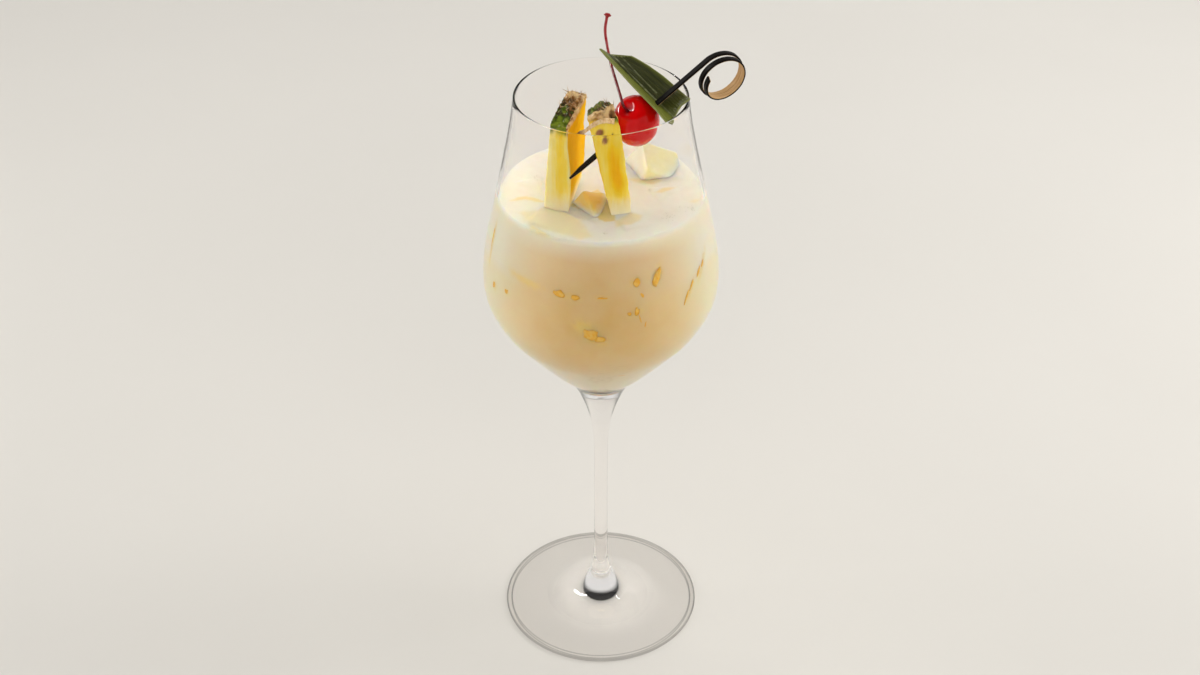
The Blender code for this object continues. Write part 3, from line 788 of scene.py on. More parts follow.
ice = {
    "cells": 20, "power": 11.0, "melted": 0.985, "waves": 0.02, "dents": 0.016, "dentSize": 4.0,
    # painted shade: the faces turned to the front and right are painted a deeper amber; the least that the
    # other faces have
    "paintedShadeFacing": (0.60, -0.70, 0.35), "leastAmber": {"ice_middle": 0.5}, "leastElse": 0.12,
    "flush": ["ice_front_left", "ice_back_left", "ice_right", "ice_front_right"],
    # centre in mm, size in mm, turns about X, Y and Z in degrees
    "blocks": {
        "ice_front_left": ((-14.6, -24.3, 196.2), (23.0, 12.5, 15.5), (4.0, 3.0, -28.0)),
        "ice_middle": ((-3.1, -12.6, 200.1), (12.0, 12.4, 11.2), (28.0, 24.0, 38.0)),
        "ice_back_left": ((-27.4, 0.6, 196.8), (12.0, 14.5, 13.0), (2.0, -5.0, 8.0)),
        "ice_back_right": ((19.6, 16.6, 200.4), (17.5, 16.0, 16.5), (24.0, 27.0, 20.0)),
        "ice_right": ((24.2, -3.6, 197.0), (11.5, 12.5, 12.5), (5.0, 4.0, 20.0)),
        "ice_front_right": ((12.2, -25.2, 197.0), (12.0, 7.5, 12.5), (-4.0, 5.0, 20.0)),
    },
    # how strong the amber is
    "depth": {"ice_front_left": 0.45, "ice_middle": 1.3, "ice_back_left": 0.7, "ice_back_right": 0.36,
              "ice_right": 0.7, "ice_front_right": 0.6},
}


def makeIceFinish(name, amber):
    # cloudy pieces of frozen drink
    material, tree, shader = newMaterial(
        name, IOR=1.31, Subsurface_Weight=1.0, Subsurface_Scale=0.005, Subsurface_Radius=(1.0, 0.75, 0.4),
        Coat_Weight=0.2)
    place = placeOf(tree)
    cloud = rangeOf(noiseOf(place, 160.0, 4.0), 0.3, 0.7, -0.18, 0.18)
    # the amber layer holds painted shade, deeper on faces turned to the front and right
    depth = times(plus(readLayer(tree, "amber"), cloud), amber)
    tint = rampOf(depth, [
        (0.0, (0.99, 0.925, 0.82)), (0.4, (0.98, 0.84, 0.48)), (1.0, (0.97, 0.68, 0.20))])
    feed(shader, mixOf(creamFilm(place, 0.0012, 0.0030, 0.0012), tint, (0.97, 0.91, 0.74)))
    wetFinish(shader, 240.0, 0.3, 0.14, 0.2, 0.0004)
    return material


def iceShape(name):
    centre, size, turns = ice["blocks"][name]
    turn = Matrix.Identity(3)
    for axis, angle in zip("ZYX", turns[::-1]):
        turn = turn @ Matrix.Rotation(radians(angle), 3, axis)

    def shape(u, v, w):
        power = ice["power"]
        reach = (abs(u) ** power + abs(v) ** power + abs(w) ** power) ** (-1 / power)
        local = Vector((u * size[0] / 2, v * size[1] / 2, w * size[2] / 2)) * reach
        melt = ice["melted"] + ice["waves"] * wave(0.5 * local.x, 0.5 * local.y, 0.5 * local.z, size[0])
        melt += ice["dents"] * grain(local, ice["dentSize"], 3, size[1])
        return tuple(Vector(centre) + turn @ (local * melt))

    return shape


blocks = {}
for name in ice["blocks"]:
    verts, faces = skinBox((ice["cells"],) * 3, iceShape(name))[:2]
    finish = makeIceFinish(name + "_finish", ice["depth"][name])
    block = turnOutwards(meshObject(name + "_melted", verts, faces, finish))
    # painted shade: more amber on faces turned to the front and right
    toward = [vertex.normal.dot(Vector(ice["paintedShadeFacing"])) for vertex in block.data.vertices]
    least = ice["leastAmber"].get(name, ice["leastElse"])
    addLayers(block.data, {"amber": [least + (1 - least) * clamp(1.5 * share - 0.1) for share in toward]})
    blocks[name] = block
    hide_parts(name)
    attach(block, "root")
print("ice made")


# pineapple wedges

# in mm and degrees: pairs are at the drink's level and wedgeSpan above it, of bulge at the left and
# right, and of band at the front and back
wedges = {
    "pineapple_left": dict(
        low=(-14.8, -5.4), high=(-11.5, -6.0), azimuth=(80.0, 71.5),
        thick=(8.4, 6.6), back=1.0, depth=(22.4, 20.8), bulge=(0.1, 1.5),
        crest=240.4, rise=1.8, tilt=-0.3, arch=1.1, seed=1.3, band=(3.4, 3.6), frayDepth=1.6, slice=0.0),
    "pineapple_right": dict(
        low=(6.2, -12.9), high=(-0.4, -12.2), azimuth=(103.0, 105.0),
        thick=(7.6, 11.6), back=0.50, depth=(12.0, 12.6), bulge=(0.2, 0.2),
        crest=243.4, rise=-1.9, tilt=1.6, arch=0.9, seed=4.1, band=(4.6, 4.0), frayDepth=0.4, slice=1.0),
}
wedgeBase, wedgeSpan, wedgeCells = 190.0, 37.0, (26, 44, 100)
# heights of the relief in mm; the crags fade out over cragReach under the crest
flesh = {
    "edge": 0.7, "waves": 0.22, "threads": 0.13, "lumps": 0.12, "crags": 0.55, "cragReach": 5.0,
    "topWaves": 0.8, "topGrain": 0.6, "topKnobs": 0.5, "pitDepth": 1.1,
}
# hollows of the right wedge's front: x, height and radius
pits = [(-0.5, 236.3, 1.7), (1.4, 232.9, 1.2), (3.9, 235.2, 0.5)]


def wedgeShape(data):
    def shape(u, v, w):
        height = (w + 1) / 2
        arc = data["arch"] * (1 - v * v)
        top = data["crest"] + data["rise"] * v + data["tilt"] * u + arc - data["arch"]
        z = wedgeBase + (top - wedgeBase) * height
        t = (z - drink["level"]) / wedgeSpan
        azimuth = radians(np.interp(t, (0, 1), data["azimuth"]))
        centre = Vector(data["low"]).lerp(Vector(data["high"]), t)
        slim = 1 - 0.35 * max(0.0, (drink["level"] - z) / (drink["level"] - wedgeBase))
        thick = np.interp(t, (0, 1), data["thick"]) * slim
        thick *= np.interp(v, (-1, 0.2, 1), (1.0, 0.3 + 0.7 * data["back"], data["back"]))
        depth = np.interp(t, (0, 1), data["depth"]) * slim
        belly = data["bulge"][int(u > 0)] * sin(pi * clamp(t * 1.2 + 0.15))
        halfSide, halfRun = thick / 2 + belly, depth / 2
        if u > 0:
            # a corner is sliced off the top
            halfSide -= data["slice"] * clamp((z - data["crest"] + 7.0) / 6.0)
        # edges rounded by a small radius
        radius = flesh["edge"]
        side, run = u * halfSide, v * halfRun
        nearSide = max(-halfSide + radius, min(halfSide - radius, side))
        nearRun = max(-halfRun + radius, min(halfRun - radius, run))
        away = hypot(side - nearSide, run - nearRun)
        if away > radius:
            side = nearSide + (side - nearSide) * radius / away
            run = nearRun + (run - nearRun) * radius / away
        coarse = flesh["waves"] * wave(side, run, z, data["seed"])
        # fibres run from the tip up to the rind
        p = (side, run, z)
        thread = flesh["threads"] * grain((side, run, z * 0.09), 0.7, 2, data["seed"])
        thread += flesh["lumps"] * grain(p, 2.6, 2, 2.2)
        below = max(0.0, data["crest"] - 1.0 - z)
        ragged = max(0.0, 1 - below / flesh["cragReach"])
        crag = flesh["crags"] * ragged * grain(p, 1.5, 3, data["seed"] + 4)
        push = 1 + (coarse + thread + crag) / max(2.0, hypot(side, run))
        side *= push
        run *= push
        if w > 0.99:
            bend = wave(2 * u * thick / 2, v * depth / 2, 3.0, data["seed"])
            z += flesh["topWaves"] * bend * (1 - 0.6 * abs(v))
            knobs = flesh["topKnobs"] * max(0.0, grain(p, 3.4, 1, 9.0))
            z += flesh["topGrain"] * grain(p, 1.3, 3, data["seed"]) + knobs
        x = centre.x + run * cos(azimuth) + side * sin(azimuth)
        y = centre.y + run * sin(azimuth) - side * cos(azimuth)
        if data["low"][0] > 0 and v < -0.5:
            for px, pz, radius in pits:
                away = (x - px) ** 2 + (z - pz) ** 2
                y += flesh["pitDepth"] * exp(-away / (0.6 * radius * radius))
        return x, y, z

    return shape


def wedgeLayers(data, verts, params):
    # rind, its colour, the flesh's warmth, partly painted shade, and the hollows at each point of a wedge
    rind, skin, warm, pit = [], [], [], []
    right = data["low"][0] > 0
    for (x, y, z), (u, v, w) in zip(verts, params):
        top = data["crest"] + data["rise"] * v
        ragged = 0.8 * grain((x, y, z * 0.5), 2.2, 3, data["seed"])
        front = v < -0.97
        band = np.interp(v, (-1, 1), data["band"]) * (1.0 if front else 0.75)
        if right and front:
            band += 0.9 * u
        elif front:
            band += 1.3 * abs(u + 0.3)
        depth = band + ragged
        rind.append(1 / (1 + exp(-(z - top + depth) * 3.0)))
        # 0 is green, 0.4 nearly black, 0.7 brown and 1 tan
        rough = 0.22 * grain((x, y, z), 1.9, 3, data["seed"] + 2)
        share = 1 - (top - z) / max(1.0, band)
        if right:
            tone = 0.28 if w > 0.97 and v > -0.8 else np.interp(share, (0, 0.3, 1.0), (0.85, 0.98, 0.8))
            if front and u > 0.45:
                tone = np.interp(share, (0, 0.5, 1.0), (0.05, 0.5, 0.95))
        else:
            tone = 0.1 if front else np.interp(v, (-1, -0.6, -0.2, 0.3, 0.8), (0.12, 0.25, 0.42, 0.62, 0.95))
            if u > 0.8:
                tone = max(tone, 0.9)
            rough *= 1.4
        skin.append(clamp(tone + rough))
        # flat faces are deeper orange than the front, partly the flesh's own colour and partly painted shade
        # on faces turned from the light; the tip in the drink is pale
        if right:
            middle = bell(u - 0.15, 0.5) * bell(z - 221, 11)
            face = max(0.72 if u < -0.97 else 0.32, 0.3 + 0.75 * middle)
        elif front:
            face = 0.12 + 0.42 * bell(u - 0.35, 0.35) - 0.1 * bell(u + 0.6, 0.25)
        else:
            face = 0.86 if u > 0.9 else 0.4
        fade = clamp((z - 203.5) / 11)
        warm.append(face * (0.25 + 0.75 * fade) + 0.16 * grain((x, y, z * 0.3), 3.0, 2, 7.0))
        dark = 0.0
        if right and v < -0.9:
            for px, pz, radius in pits:
                away = hypot(x - px, z - pz) / radius
                dark = max(dark, 1 / (1 + exp(min(60.0, (away - 0.85) * 12))))
        pit.append(dark)
    return {"rind": rind, "skin": skin, "warm": warm, "pit": pit}


def makePineapple():
    material, tree, shader = newMaterial(
        "pineappleFlesh", IOR=1.36, Specular_IOR_Level=0.0, Subsurface_Weight=0.35,
        Subsurface_Radius=(1.0, 0.7, 0.18), Subsurface_Scale=0.0018, Coat_Roughness=0.12)
    place = placeOf(tree)
    threads = threadsOf(place, 1300.0, 0.06)
    yellow = rampOf(plus(readLayer(tree, "warm"), swing(threads["Fibre"], 0.9)), [
        (0.0, (0.99, 0.84, 0.36)), (0.3, (0.99, 0.74, 0.11)), (0.62, (0.99, 0.65, 0.025)),
        (1.0, (0.97, 0.50, 0.008))])
    rough = threadsOf(place, 620.0, 0.6)
    skin = rampOf(plus(readLayer(tree, "skin"), swing(rough["Fibre"], 1.3)), [
        (0.0, (0.20, 0.26, 0.02)), (0.22, (0.075, 0.11, 0.010)), (0.42, (0.030, 0.022, 0.008)),
        (0.68, (0.30, 0.13, 0.035)), (1.0, (0.82, 0.58, 0.28))])
    rind = readLayer(tree, "rind")
    hole = mixOf(rangeOf(rough["Patch"], 0.4, 0.6), (0.13, 0.04, 0.015), (0.60, 0.28, 0.16))
    seen = mixOf(readLayer(tree, "pit"), mixOf(rind, yellow, skin), hole)
    feed(shader, times(rind, 0.4), "Coat Weight")
    feed(shader, mixOf(creamFilm(place, 0.0025, 0.0095, 0.0022, 0.9), seen, (0.96, 0.87, 0.62)))
    dampen(shader, 420.0, 0.42, 0.16)
    bumpTo(shader, plus(threads["Fibre"], times(rough["Fibre"], rind)), 0.45, 0.0005)
    return material


def makeFibreFinish():
    material, tree, shader = newMaterial("rindFibre", Roughness=0.6)
    tint = noiseOf(placeOf(tree), 240.0, 2.0)
    feed(shader, rampOf(tint, [
        (0.35, (0.20, 0.09, 0.03)), (0.5, (0.55, 0.33, 0.13)), (0.65, (0.78, 0.56, 0.28))]))
    return material


rindFibres = {"Density": 2.2e5, "Smallest": 0.0005, "Largest": 0.00115}
fibreTree = scatterTree("Fibres")
fleshFinish = makePineapple()
fibreFinish = makeFibreFinish()
wedgePieces = []
for name, data in wedges.items():
    verts, faces, params = skinBox(wedgeCells, wedgeShape(data))
    layers = wedgeLayers(data, verts, params)
    wedge = turnOutwards(meshObject(name + "_wedge", verts, faces, fleshFinish, layers))
    wedgePieces.append(wedge)
    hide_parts(name)
    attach(wedge, "root")
    heights = pointsOf(wedge.data)[:, 2]
    rind = np.zeros(len(heights))
    wedge.data.attributes["rind"].data.foreach_get("value", rind)
    frayed = np.clip((heights - data["crest"] + data["frayDepth"]) / 1.5, 0, 1) * rind ** 3
    values = {**rindFibres, "Seed": int(10 * data["seed"]), "Material": fibreFinish}
    fuzz = scattered(name + "_rind_fibres", wedge, frayed, fibreTree, values)
    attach(fuzz, "root")


curl = {
    "stations": [(4.6, -18.8, 241.0), (2.4, -19.7, 241.7), (0.7, -20.2, 241.9), (-1.4, -20.6, 241.3),
                 (-3.2, -20.8, 240.3), (-4.9, -20.9, 238.9), (-6.7, -20.9, 237.6), (-8.5, -20.7, 236.9)],
    "widths": ((0.0, 0.4, 0.75, 0.9, 1.0), (1.25, 1.0, 0.72, 1.1, 0.3)),
    "halfWidth": 0.85, "thickness": 0.26, "sides": 14,
}


def makeCurlFinish():
    material, tree, shader = newMaterial("curlPeel", IOR=1.4, Subsurface_Weight=0.3, Subsurface_Scale=0.0008)
    fibre = threadsOf(placeOf(tree), 1800.0, 0.4)["Fibre"]
    fresh = rampOf(fibre, [
        (0.35, (0.50, 0.30, 0.10)), (0.5, (0.80, 0.56, 0.28)), (0.65, (0.90, 0.72, 0.45))])
    dried = rampOf(fibre, [(0.35, (0.10, 0.04, 0.012)), (0.65, (0.36, 0.17, 0.06))])
    feed(shader, mixOf(readLayer(tree, "dried"), fresh, dried))
    wetFinish(shader, 500.0, 0.55, 0.3, 0.3, 0.0002)
    return material


def makePeelCurl():
    # a thin strip of peel that has come away from the right wedge and hangs out to the left
    run = smoothRun(curl["stations"], 6)
    rings, dried = [], []
    for i, p in enumerate(run):
        t = i / (len(run) - 1)
        along = Vector(wayAlong(run, i)).normalized()
        across = along.cross(Vector((0.1, -0.8, 0.5))).normalized()
        out = across.cross(along).normalized()
        width = np.interp(t, *curl["widths"]) * curl["halfWidth"]
        width *= 1 + 0.18 * grain(p, 0.9, 2, 3.0)
        ring = []
        for k, turn in enumerate(turnsOf(curl["sides"])):
            thick = curl["thickness"] + 0.07 * grain(p, 0.6, 2, k)
            hollow = 0.25 * cos(turn) ** 2
            ring.append(Vector(p) + across * (width * cos(turn)) + out * (thick * sin(turn) + hollow))
        rings.append(ring)
        dried.append([clamp((t - 0.74) * 5 + 0.3 * grain(q, 0.7, 2)) for q in ring])
    return loft("peelCurl", rings, makeCurlFinish(), {"dried": dried})


peelCurl = makePeelCurl()
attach(peelCurl, "root")
print("wedges made")


# top of the drink


def meshTree(obj):
    # a search tree of a piece, in mm
    verts = [vertex.co * 1000 for vertex in obj.data.vertices]
    return BVHTree.FromPolygons(verts, [tuple(polygon.vertices) for polygon in obj.data.polygons])


flush = [meshTree(blocks[name]) for name in ice["flush"]]
standing = [meshTree(blocks[name]) for name in ("ice_middle", "ice_back_right")]
standing += [meshTree(wedge) for wedge in wedgePieces]
drinkPoints, drinkTop = shapeDrink(pinaColada.data)
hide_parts("drink")
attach(pinaColada, "root")
print("drink made")


def makeFroth():
    material, tree, shader = newMaterial("froth", IOR=1.34, Subsurface_Weight=0.8, Subsurface_Scale=0.003,
                                         Subsurface_Radius=(1.0, 0.8, 0.5), Coat_Weight=0.2)
    tint = noiseOf(placeOf(tree), 300.0, 2.0)
    feed(shader, mixOf(tint, (0.95, 0.88, 0.70), (0.98, 0.94, 0.80)))
    wetFinish(shader, 700.0, 0.3, 0.15, 0.1, 0.0001)
    return material


bubbles = {"Density": 1.5e6, "Seed": 4, "Smallest": 0.0001, "Largest": 0.00026, "Material": makeFroth()}
# where the bubbles crowd: x, y and radius in mm
clusters = [
    (-23.5, -33.0, 4.0), (-19.0, -35.5, 3.2), (-14.5, -37.0, 2.4), (-9.0, -15.0, 2.0), (-5.0, -20.5, 2.2),
    (-22.0, 8.0, 3.4), (33.0, -14.0, 2.0), (24.0, -20.0, 2.4), (6.0, 26.0, 3.6)]
frothMask = []
for x, y, z in drinkPoints:
    crowd = max(exp(-((x - cx) ** 2 + (y - cy) ** 2) / radius ** 2) for cx, cy, radius in clusters)
    frothMask.append(crowd if z > drink["level"] - 0.6 else 0.0)
frothMask = np.array(frothMask) * drinkTop
frothBubbles = scattered("frothBubbles", pinaColada, frothMask, scatterTree("Bubbles"), bubbles)
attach(frothBubbles, "root")
print("froth made", len(frothBubbles.data.polygons))


def makeChipFinish():
    material, tree, shader = newMaterial("amberChip", IOR=1.36, Specular_IOR_Level=0.0)
    feed(shader, rampOf(noiseOf(placeOf(tree), 700.0), [
        (0.35, (0.95, 0.50, 0.07)), (0.5, (0.97, 0.56, 0.10)), (0.65, (0.98, 0.63, 0.16))]))
    wetFinish(shader, 500.0, 0.4, 0.2, 0.2, 0.0002)
    return material


def makeChips():
    # bits of fruit that lie against the glass, each a thin ragged lens
    verts, faces = [], []
    rows, columns, thick = 5, 12, 0.13
    for k, (turn, height, longer, shorter, tilt) in enumerate(drink["chips"]):
        radius = wallRadius(height) + drink["reach"]
        slope = (wallRadius(height + 1) - wallRadius(height - 1)) / 2
        azimuth = radians(turn)
        out = Vector((cos(azimuth), sin(azimuth), -slope)).normalized()
        across = Vector((-sin(azimuth), cos(azimuth), 0.0))
        up = out.cross(across)
        centre = Vector((radius * cos(azimuth), radius * sin(azimuth), height)) - out * 0.03
        c, s = cos(radians(tilt)), sin(radians(tilt))
        base = len(verts)
        for i in range(1, rows):
            polar = pi * i / rows
            for angle in turnsOf(columns):
                ragged = 1 + 0.5 * grain((cos(angle), sin(angle), k), 0.9, 2, k * 1.7)
                a = sin(polar) * cos(angle) * longer * ragged
                b = sin(polar) * sin(angle) * shorter * ragged
                place = centre + across * (a * c - b * s) + up * (a * s + b * c)
                verts.append(place + out * (thick * cos(polar)))
        verts += [centre + out * thick, centre - out * thick]
        faces += ringFaces(rows - 1, columns, base)
        last = base + (rows - 2) * columns
        for j in range(columns):
            n = (j + 1) % columns
            faces.append((base + n, base + j, len(verts) - 2))
            faces.append((last + j, last + n, len(verts) - 1))
    return turnOutwards(meshObject("fruitChips", verts, faces, makeChipFinish()))


fruitChips = makeChips()
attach(fruitChips, "root")


def makeRingBubble():
    # one bubble that has burst into a small ring on the top
    verts = []
    around, section = 28, 8
    x0, y0, radius, thick = drink["ringBubble"]
    for turn in turnsOf(around):
        out = Vector((cos(turn), sin(turn), 0))
        centre = Vector((x0 + radius * cos(turn), y0 + radius * sin(turn), 0))
        centre.z = drink["level"] + topHeight(centre.x, centre.y) + 0.05
        for angle in turnsOf(section):
            verts.append(centre + thick * (out * cos(angle) + Vector((0, 0, sin(angle)))))
    faces = ringFaces(around, section, closed=True)
    return turnOutwards(meshObject("ringBubble", verts, faces, bubbles["Material"]))


ringBubble = makeRingBubble()
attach(ringBubble, "root")


# pick

pick = {
    "tip": (-11.3, -18.6, 218.1), "azimuth": 18.7, "slope": 36.7, "width": 2.7, "loopWidth": 2.8,
    "thickness": 0.9, "point": 15.0, "straight": 64.8, "loopAlong": 8.75, "loopAcross": 9.3,
    "widths": ((0.0, 2.0, 5.0, 11.0, 48.0, 64.8), (0.4, 1.2, 2.4, 2.8, 2.7, 2.8)),
    "loopDegrees": 688.0, "loopPitch": 3.7, "loopTilt": 6.5, "loopSway": 0.5, "loopShrink": 0.06,
    "loopSteps": 230, "section": 16, "hollow": 0.12, "uneven": 0.05,
}


def pickFrame():
    azimuth, slope = radians(pick["azimuth"]), radians(pick["slope"])
    level = Vector((cos(azimuth), sin(azimuth), 0))
    along = cos(slope) * level + Vector((0, 0, sin(slope)))
    up = -sin(slope) * level + Vector((0, 0, cos(slope)))
    return along, along.cross(up), up


def pickPoint(distance):
    return Vector(pick["tip"]) + pickFrame()[0] * distance


def makeBamboo():
    material, tree, shader = newMaterial("blackSkinBamboo", IOR=1.4, Specular_IOR_Level=0.08)
    fibre = threadsOf(stripPlace(tree, "Y", "X"), 5.0, 0.06)["Fibre"]
    wood = rampOf(fibre, [
        (0.3, (0.33, 0.17, 0.06)), (0.5, (0.55, 0.34, 0.15)), (0.7, (0.70, 0.50, 0.27))])
    black = rampOf(fibre, [(0.35, (0.002, 0.0015, 0.001)), (0.65, (0.010, 0.007, 0.005))])
    worn = plus(readLayer(tree, "skin"), swing(fibre, 0.5))
    feed(shader, mixOf(rangeOf(worn, 0.42, 0.58), wood, black))
    feed(shader, rangeOf(fibre, 0.3, 0.7, 0.38, 0.6), "Roughness")
    bumpTo(shader, fibre, 0.4, 0.0002)
    return material


def makePick():
    along, across, up = pickFrame()
    points, ups, widths, lengths = [], [], [], []
    tipPart = np.linspace(0, pick["point"], 16)
    for distance in np.concatenate([tipPart, np.linspace(pick["point"] + 1, pick["straight"] - 1, 40)]):
        width = np.interp(distance, *pick["widths"])
        points.append(pickPoint(distance) + across * max(0.0, pick["width"] - width) * 0.15)
        ups.append(up)
        widths.append(width)
        lengths.append(distance)
    centre = pickPoint(pick["straight"]) - up * pick["loopAcross"]
    steps = pick["loopSteps"]
    for k in range(steps + 1):
        turn = radians(pick["loopDegrees"] * k / steps)
        shift = pick["loopPitch"] * turn / (2 * pi) + pick["loopSway"] * sin(turn)
        shift -= pick["loopTilt"] * (1 - cos(turn)) / 2
        size = 1 - pick["loopShrink"] * turn / (2 * pi)
        ring = pick["loopAcross"] * cos(turn) * up + pick["loopAlong"] * sin(turn) * along
        points.append(centre + size * ring + across * shift)
        outward = cos(turn) * pick["loopAlong"] * up + sin(turn) * pick["loopAcross"] * along
        ups.append(outward.normalized())
        widths.append(pick["loopWidth"] * (1 - 0.04 * abs(grain((k, 0, 0), 9, 2))))
        lengths.append(pick["straight"] + turn * 8.0)
    rings, skins, uvs = [], [], []
    for i, p in enumerate(points):
        side = wayAlong(points, i).normalized().cross(ups[i]).normalized()
        ring, skin, uv = [], [], []
        for k in range(pick["section"]):
            turn = 2 * pi * (k + 0.5) / pick["section"]
            c, s = cos(turn), sin(turn)
            # a rounded bar, a little hollowed on its inner face
            reach = (abs(c) ** 6 + abs(s) ** 6) ** (-1 / 6)
            a, b = c * reach * widths[i] / 2, s * reach * pick["thickness"] / 2
            if s < -0.3:
                b += pick["hollow"] * (1 - abs(c * reach)) \
                    + pick["uneven"] * grain((k * 0.7, lengths[i] * 0.1, 0), 1.0, 2)
            ring.append(p + side * a + ups[i] * b)
            skin.append(1.0 if s * reach > -0.25 else (0.5 if s * reach > -0.6 else 0.0))
            uv.append((lengths[i], a + (5 if s < 0 else 0)))
        rings.append(ring)
        skins.append(skin)
        uvs.append(uv)
    return loft("bambooPick", rings, makeBamboo(), {"skin": skins}, uvs)


bambooPick = makePick()
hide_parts("pick")
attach(bambooPick, "root")
print("pick made")


# cherry

cherry = {
    "alongPick": 31.4, "radius": 8.5, "tall": 9.3, "dimple": 2.0, "offset": (0.05, 2.48, -1.0),
    "axis": (-0.46, -0.42, 0.78), "rings": 90, "segments": 120, "stem": 0.56, "knob": 0.9,
    # how far the hollow round the stem and the dent underneath reach, in radians, and the depths in mm
    "dimpleWidth": 0.34, "dentWidth": 0.5, "dent": 0.5, "lumps": 0.10, "creases": 0.22,
    "stations": [(-4.7, -3.7, 7.8), (-5.7, -0.8, 10.1), (-7.2, 5.4, 12.6), (-9.0, 13.2, 15.8),
                 (-10.4, 18.9, 20.5), (-11.1, 22.2, 24.8), (-10.6, 24.7, 28.2), (-10.1, 25.8, 29.85)],
}


def makeCherrySkin():
    material, tree, shader = newMaterial(
        "cherrySkin", IOR=1.25, Subsurface_Weight=0.35, Subsurface_Radius=(1.0, 0.06, 0.05),
        Subsurface_Scale=0.003, Coat_Weight=0.4, Coat_Roughness=0.015)
    place = placeOf(tree)
    cloud = rangeOf(noiseOf(place, 140.0), 0.3, 0.7)
    red = mixOf(cloud, (0.62, 0.0, 0.0), (0.80, 0.003, 0.004))
    pale = mixOf(noiseOf(place, 420.0), (0.80, 0.03, 0.03), (0.92, 0.34, 0.28))
    body = mixOf(readLayer(tree, "pale"), red, pale)
    # painted shade: the hollow round the stem is painted a dark red
    feed(shader, mixOf(readLayer(tree, "stemHollowShade"), body, (0.14, 0.0, 0.002)))
    wetFinish(shader, 380.0, 0.07, 0.03, 0.04, 0.0003)
    return material


def makeStemFinish():
    material, tree, shader = newMaterial("cherryStem", IOR=1.45, Coat_Weight=0.15, Coat_Roughness=0.1,
                                         Subsurface_Weight=0.2, Subsurface_Scale=0.001)
    place = placeOf(tree)
    uneven = times(noiseOf(place, 300.0), 0.01)
    tint = rangeOf(plus(axisOf(place, "Z"), uneven), 0.247, 0.268)
    feed(shader, rampOf(tint, [
        (0.0, (0.10, 0.002, 0.006)), (0.45, (0.22, 0.005, 0.008)), (0.8, (0.36, 0.014, 0.016)),
        (1.0, (0.34, 0.01, 0.012))]))
    wetFinish(shader, 500.0, 0.4, 0.2, 0.3, 0.0003)
    return material


def makeCherry():
    centre = pickPoint(cherry["alongPick"]) + Vector(cherry["offset"])
    axis = Vector(cherry["axis"]).normalized()
    profile = []
    for k in range(cherry["rings"] + 1):
        angle = pi * k / cherry["rings"]
        hollow = cherry["dimple"] * bell(angle, cherry["dimpleWidth"])
        radius = cherry["radius"] - hollow - cherry["dent"] * bell(pi - angle, cherry["dentWidth"])
        profile.append((radius * max(0.0, sin(angle)), radius * cos(angle)))
    profile[-1] = (0.0, profile[-1][1])
    body = turned("cherryBody", profile, cherry["segments"], makeCherrySkin())
    turn = axis.to_track_quat("Z", "Y").to_matrix().to_4x4()
    stretch = Matrix.Scale(cherry["tall"] / cherry["radius"], 4, Vector((0.0, 0.56, 0.83)).normalized())
    body.data.transform(stretch @ turn)
    pale, stemHollowShade = [], []
    for vertex in body.data.vertices:
        local = vertex.co * 1000
        low = (-local.z - 0.25 * local.y) / cherry["radius"]
        # the skin is wrinkled and paler underneath
        crease = grain(local, 2.2, 3, 1.0)
        push = cherry["lumps"] * grain(local, 5.0, 2, 3.0) + cherry["creases"] * crease * max(0.0, low - 0.25)
        vertex.co += Vector(local).normalized() * (push - 0.08) * 0.001
        pale.append(clamp((low - 0.86 + 0.22 * crease) * 5.0))
        # painted shade in the hollow round the stem
        stemHollowShade.append(0.75 * bell(local.angle(axis), 0.22))
    addLayers(body.data, {"pale": pale, "stemHollowShade": stemHollowShade})
    body.data.transform(Matrix.Translation(centre * 0.001))
    root = axis * (cherry["radius"] - cherry["dimple"] - 1.2)
    run = [centre + Vector(p) for p in smoothRun([tuple(root), *cherry["stations"]], 8)]
    radii = []
    for i, p in enumerate(run):
        t = i / (len(run) - 1)
        # the stem ends in a knob
        knob = 0.95 * bell(t - 0.955, 0.03) + 0.35 * bell(t - 1.0, 0.02)
        thick = cherry["stem"] * (1 + 0.10 * grain(p, 1.5, 2)) * (1 - 0.08 * sin(pi * t))
        radii.append(thick + knob * cherry["knob"])
    rings = tubeRings(run, radii, 20)
    for i, ring in enumerate(rings):
        if i > len(rings) * 0.93:
            for k, p in enumerate(ring):
                ring[k] = run[i] + (p - run[i]) * (1 + 0.5 * grain(p, 0.9, 2, 2.0))
    return body, loft("cherryStalk", rings, makeStemFinish())


cherryBody, cherryStalk = makeCherry()
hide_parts("cherry")
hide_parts("cherry")
for piece in (cherryBody, cherryStalk):
    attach(piece, "root")
print("cherry made")


# leaf

leaf = {
    "alongPick": 41.4, "run": (-0.687, 0.450, 0.573), "side": (0.727, 0.436, 0.534), "thickness": 0.8,
    "blade": 9.0, "fold": 3.8, "lift": 8.0, "foldColumn": 0.36, "rows": 120, "columns": 72,
    "ribs": 0.07, "ribTurns": 95.0, "uneven": 0.10,
    # where the blade starts and ends along its length, by how far across it is
    "cut": ((0, 0.18, 0.36, 0.7, 1), (-7.4, -9.6, -8.4, -6.5, -7.3)),
    "end": ((0, 0.36, 1), (28.2, 26.8, 19.2)),
}


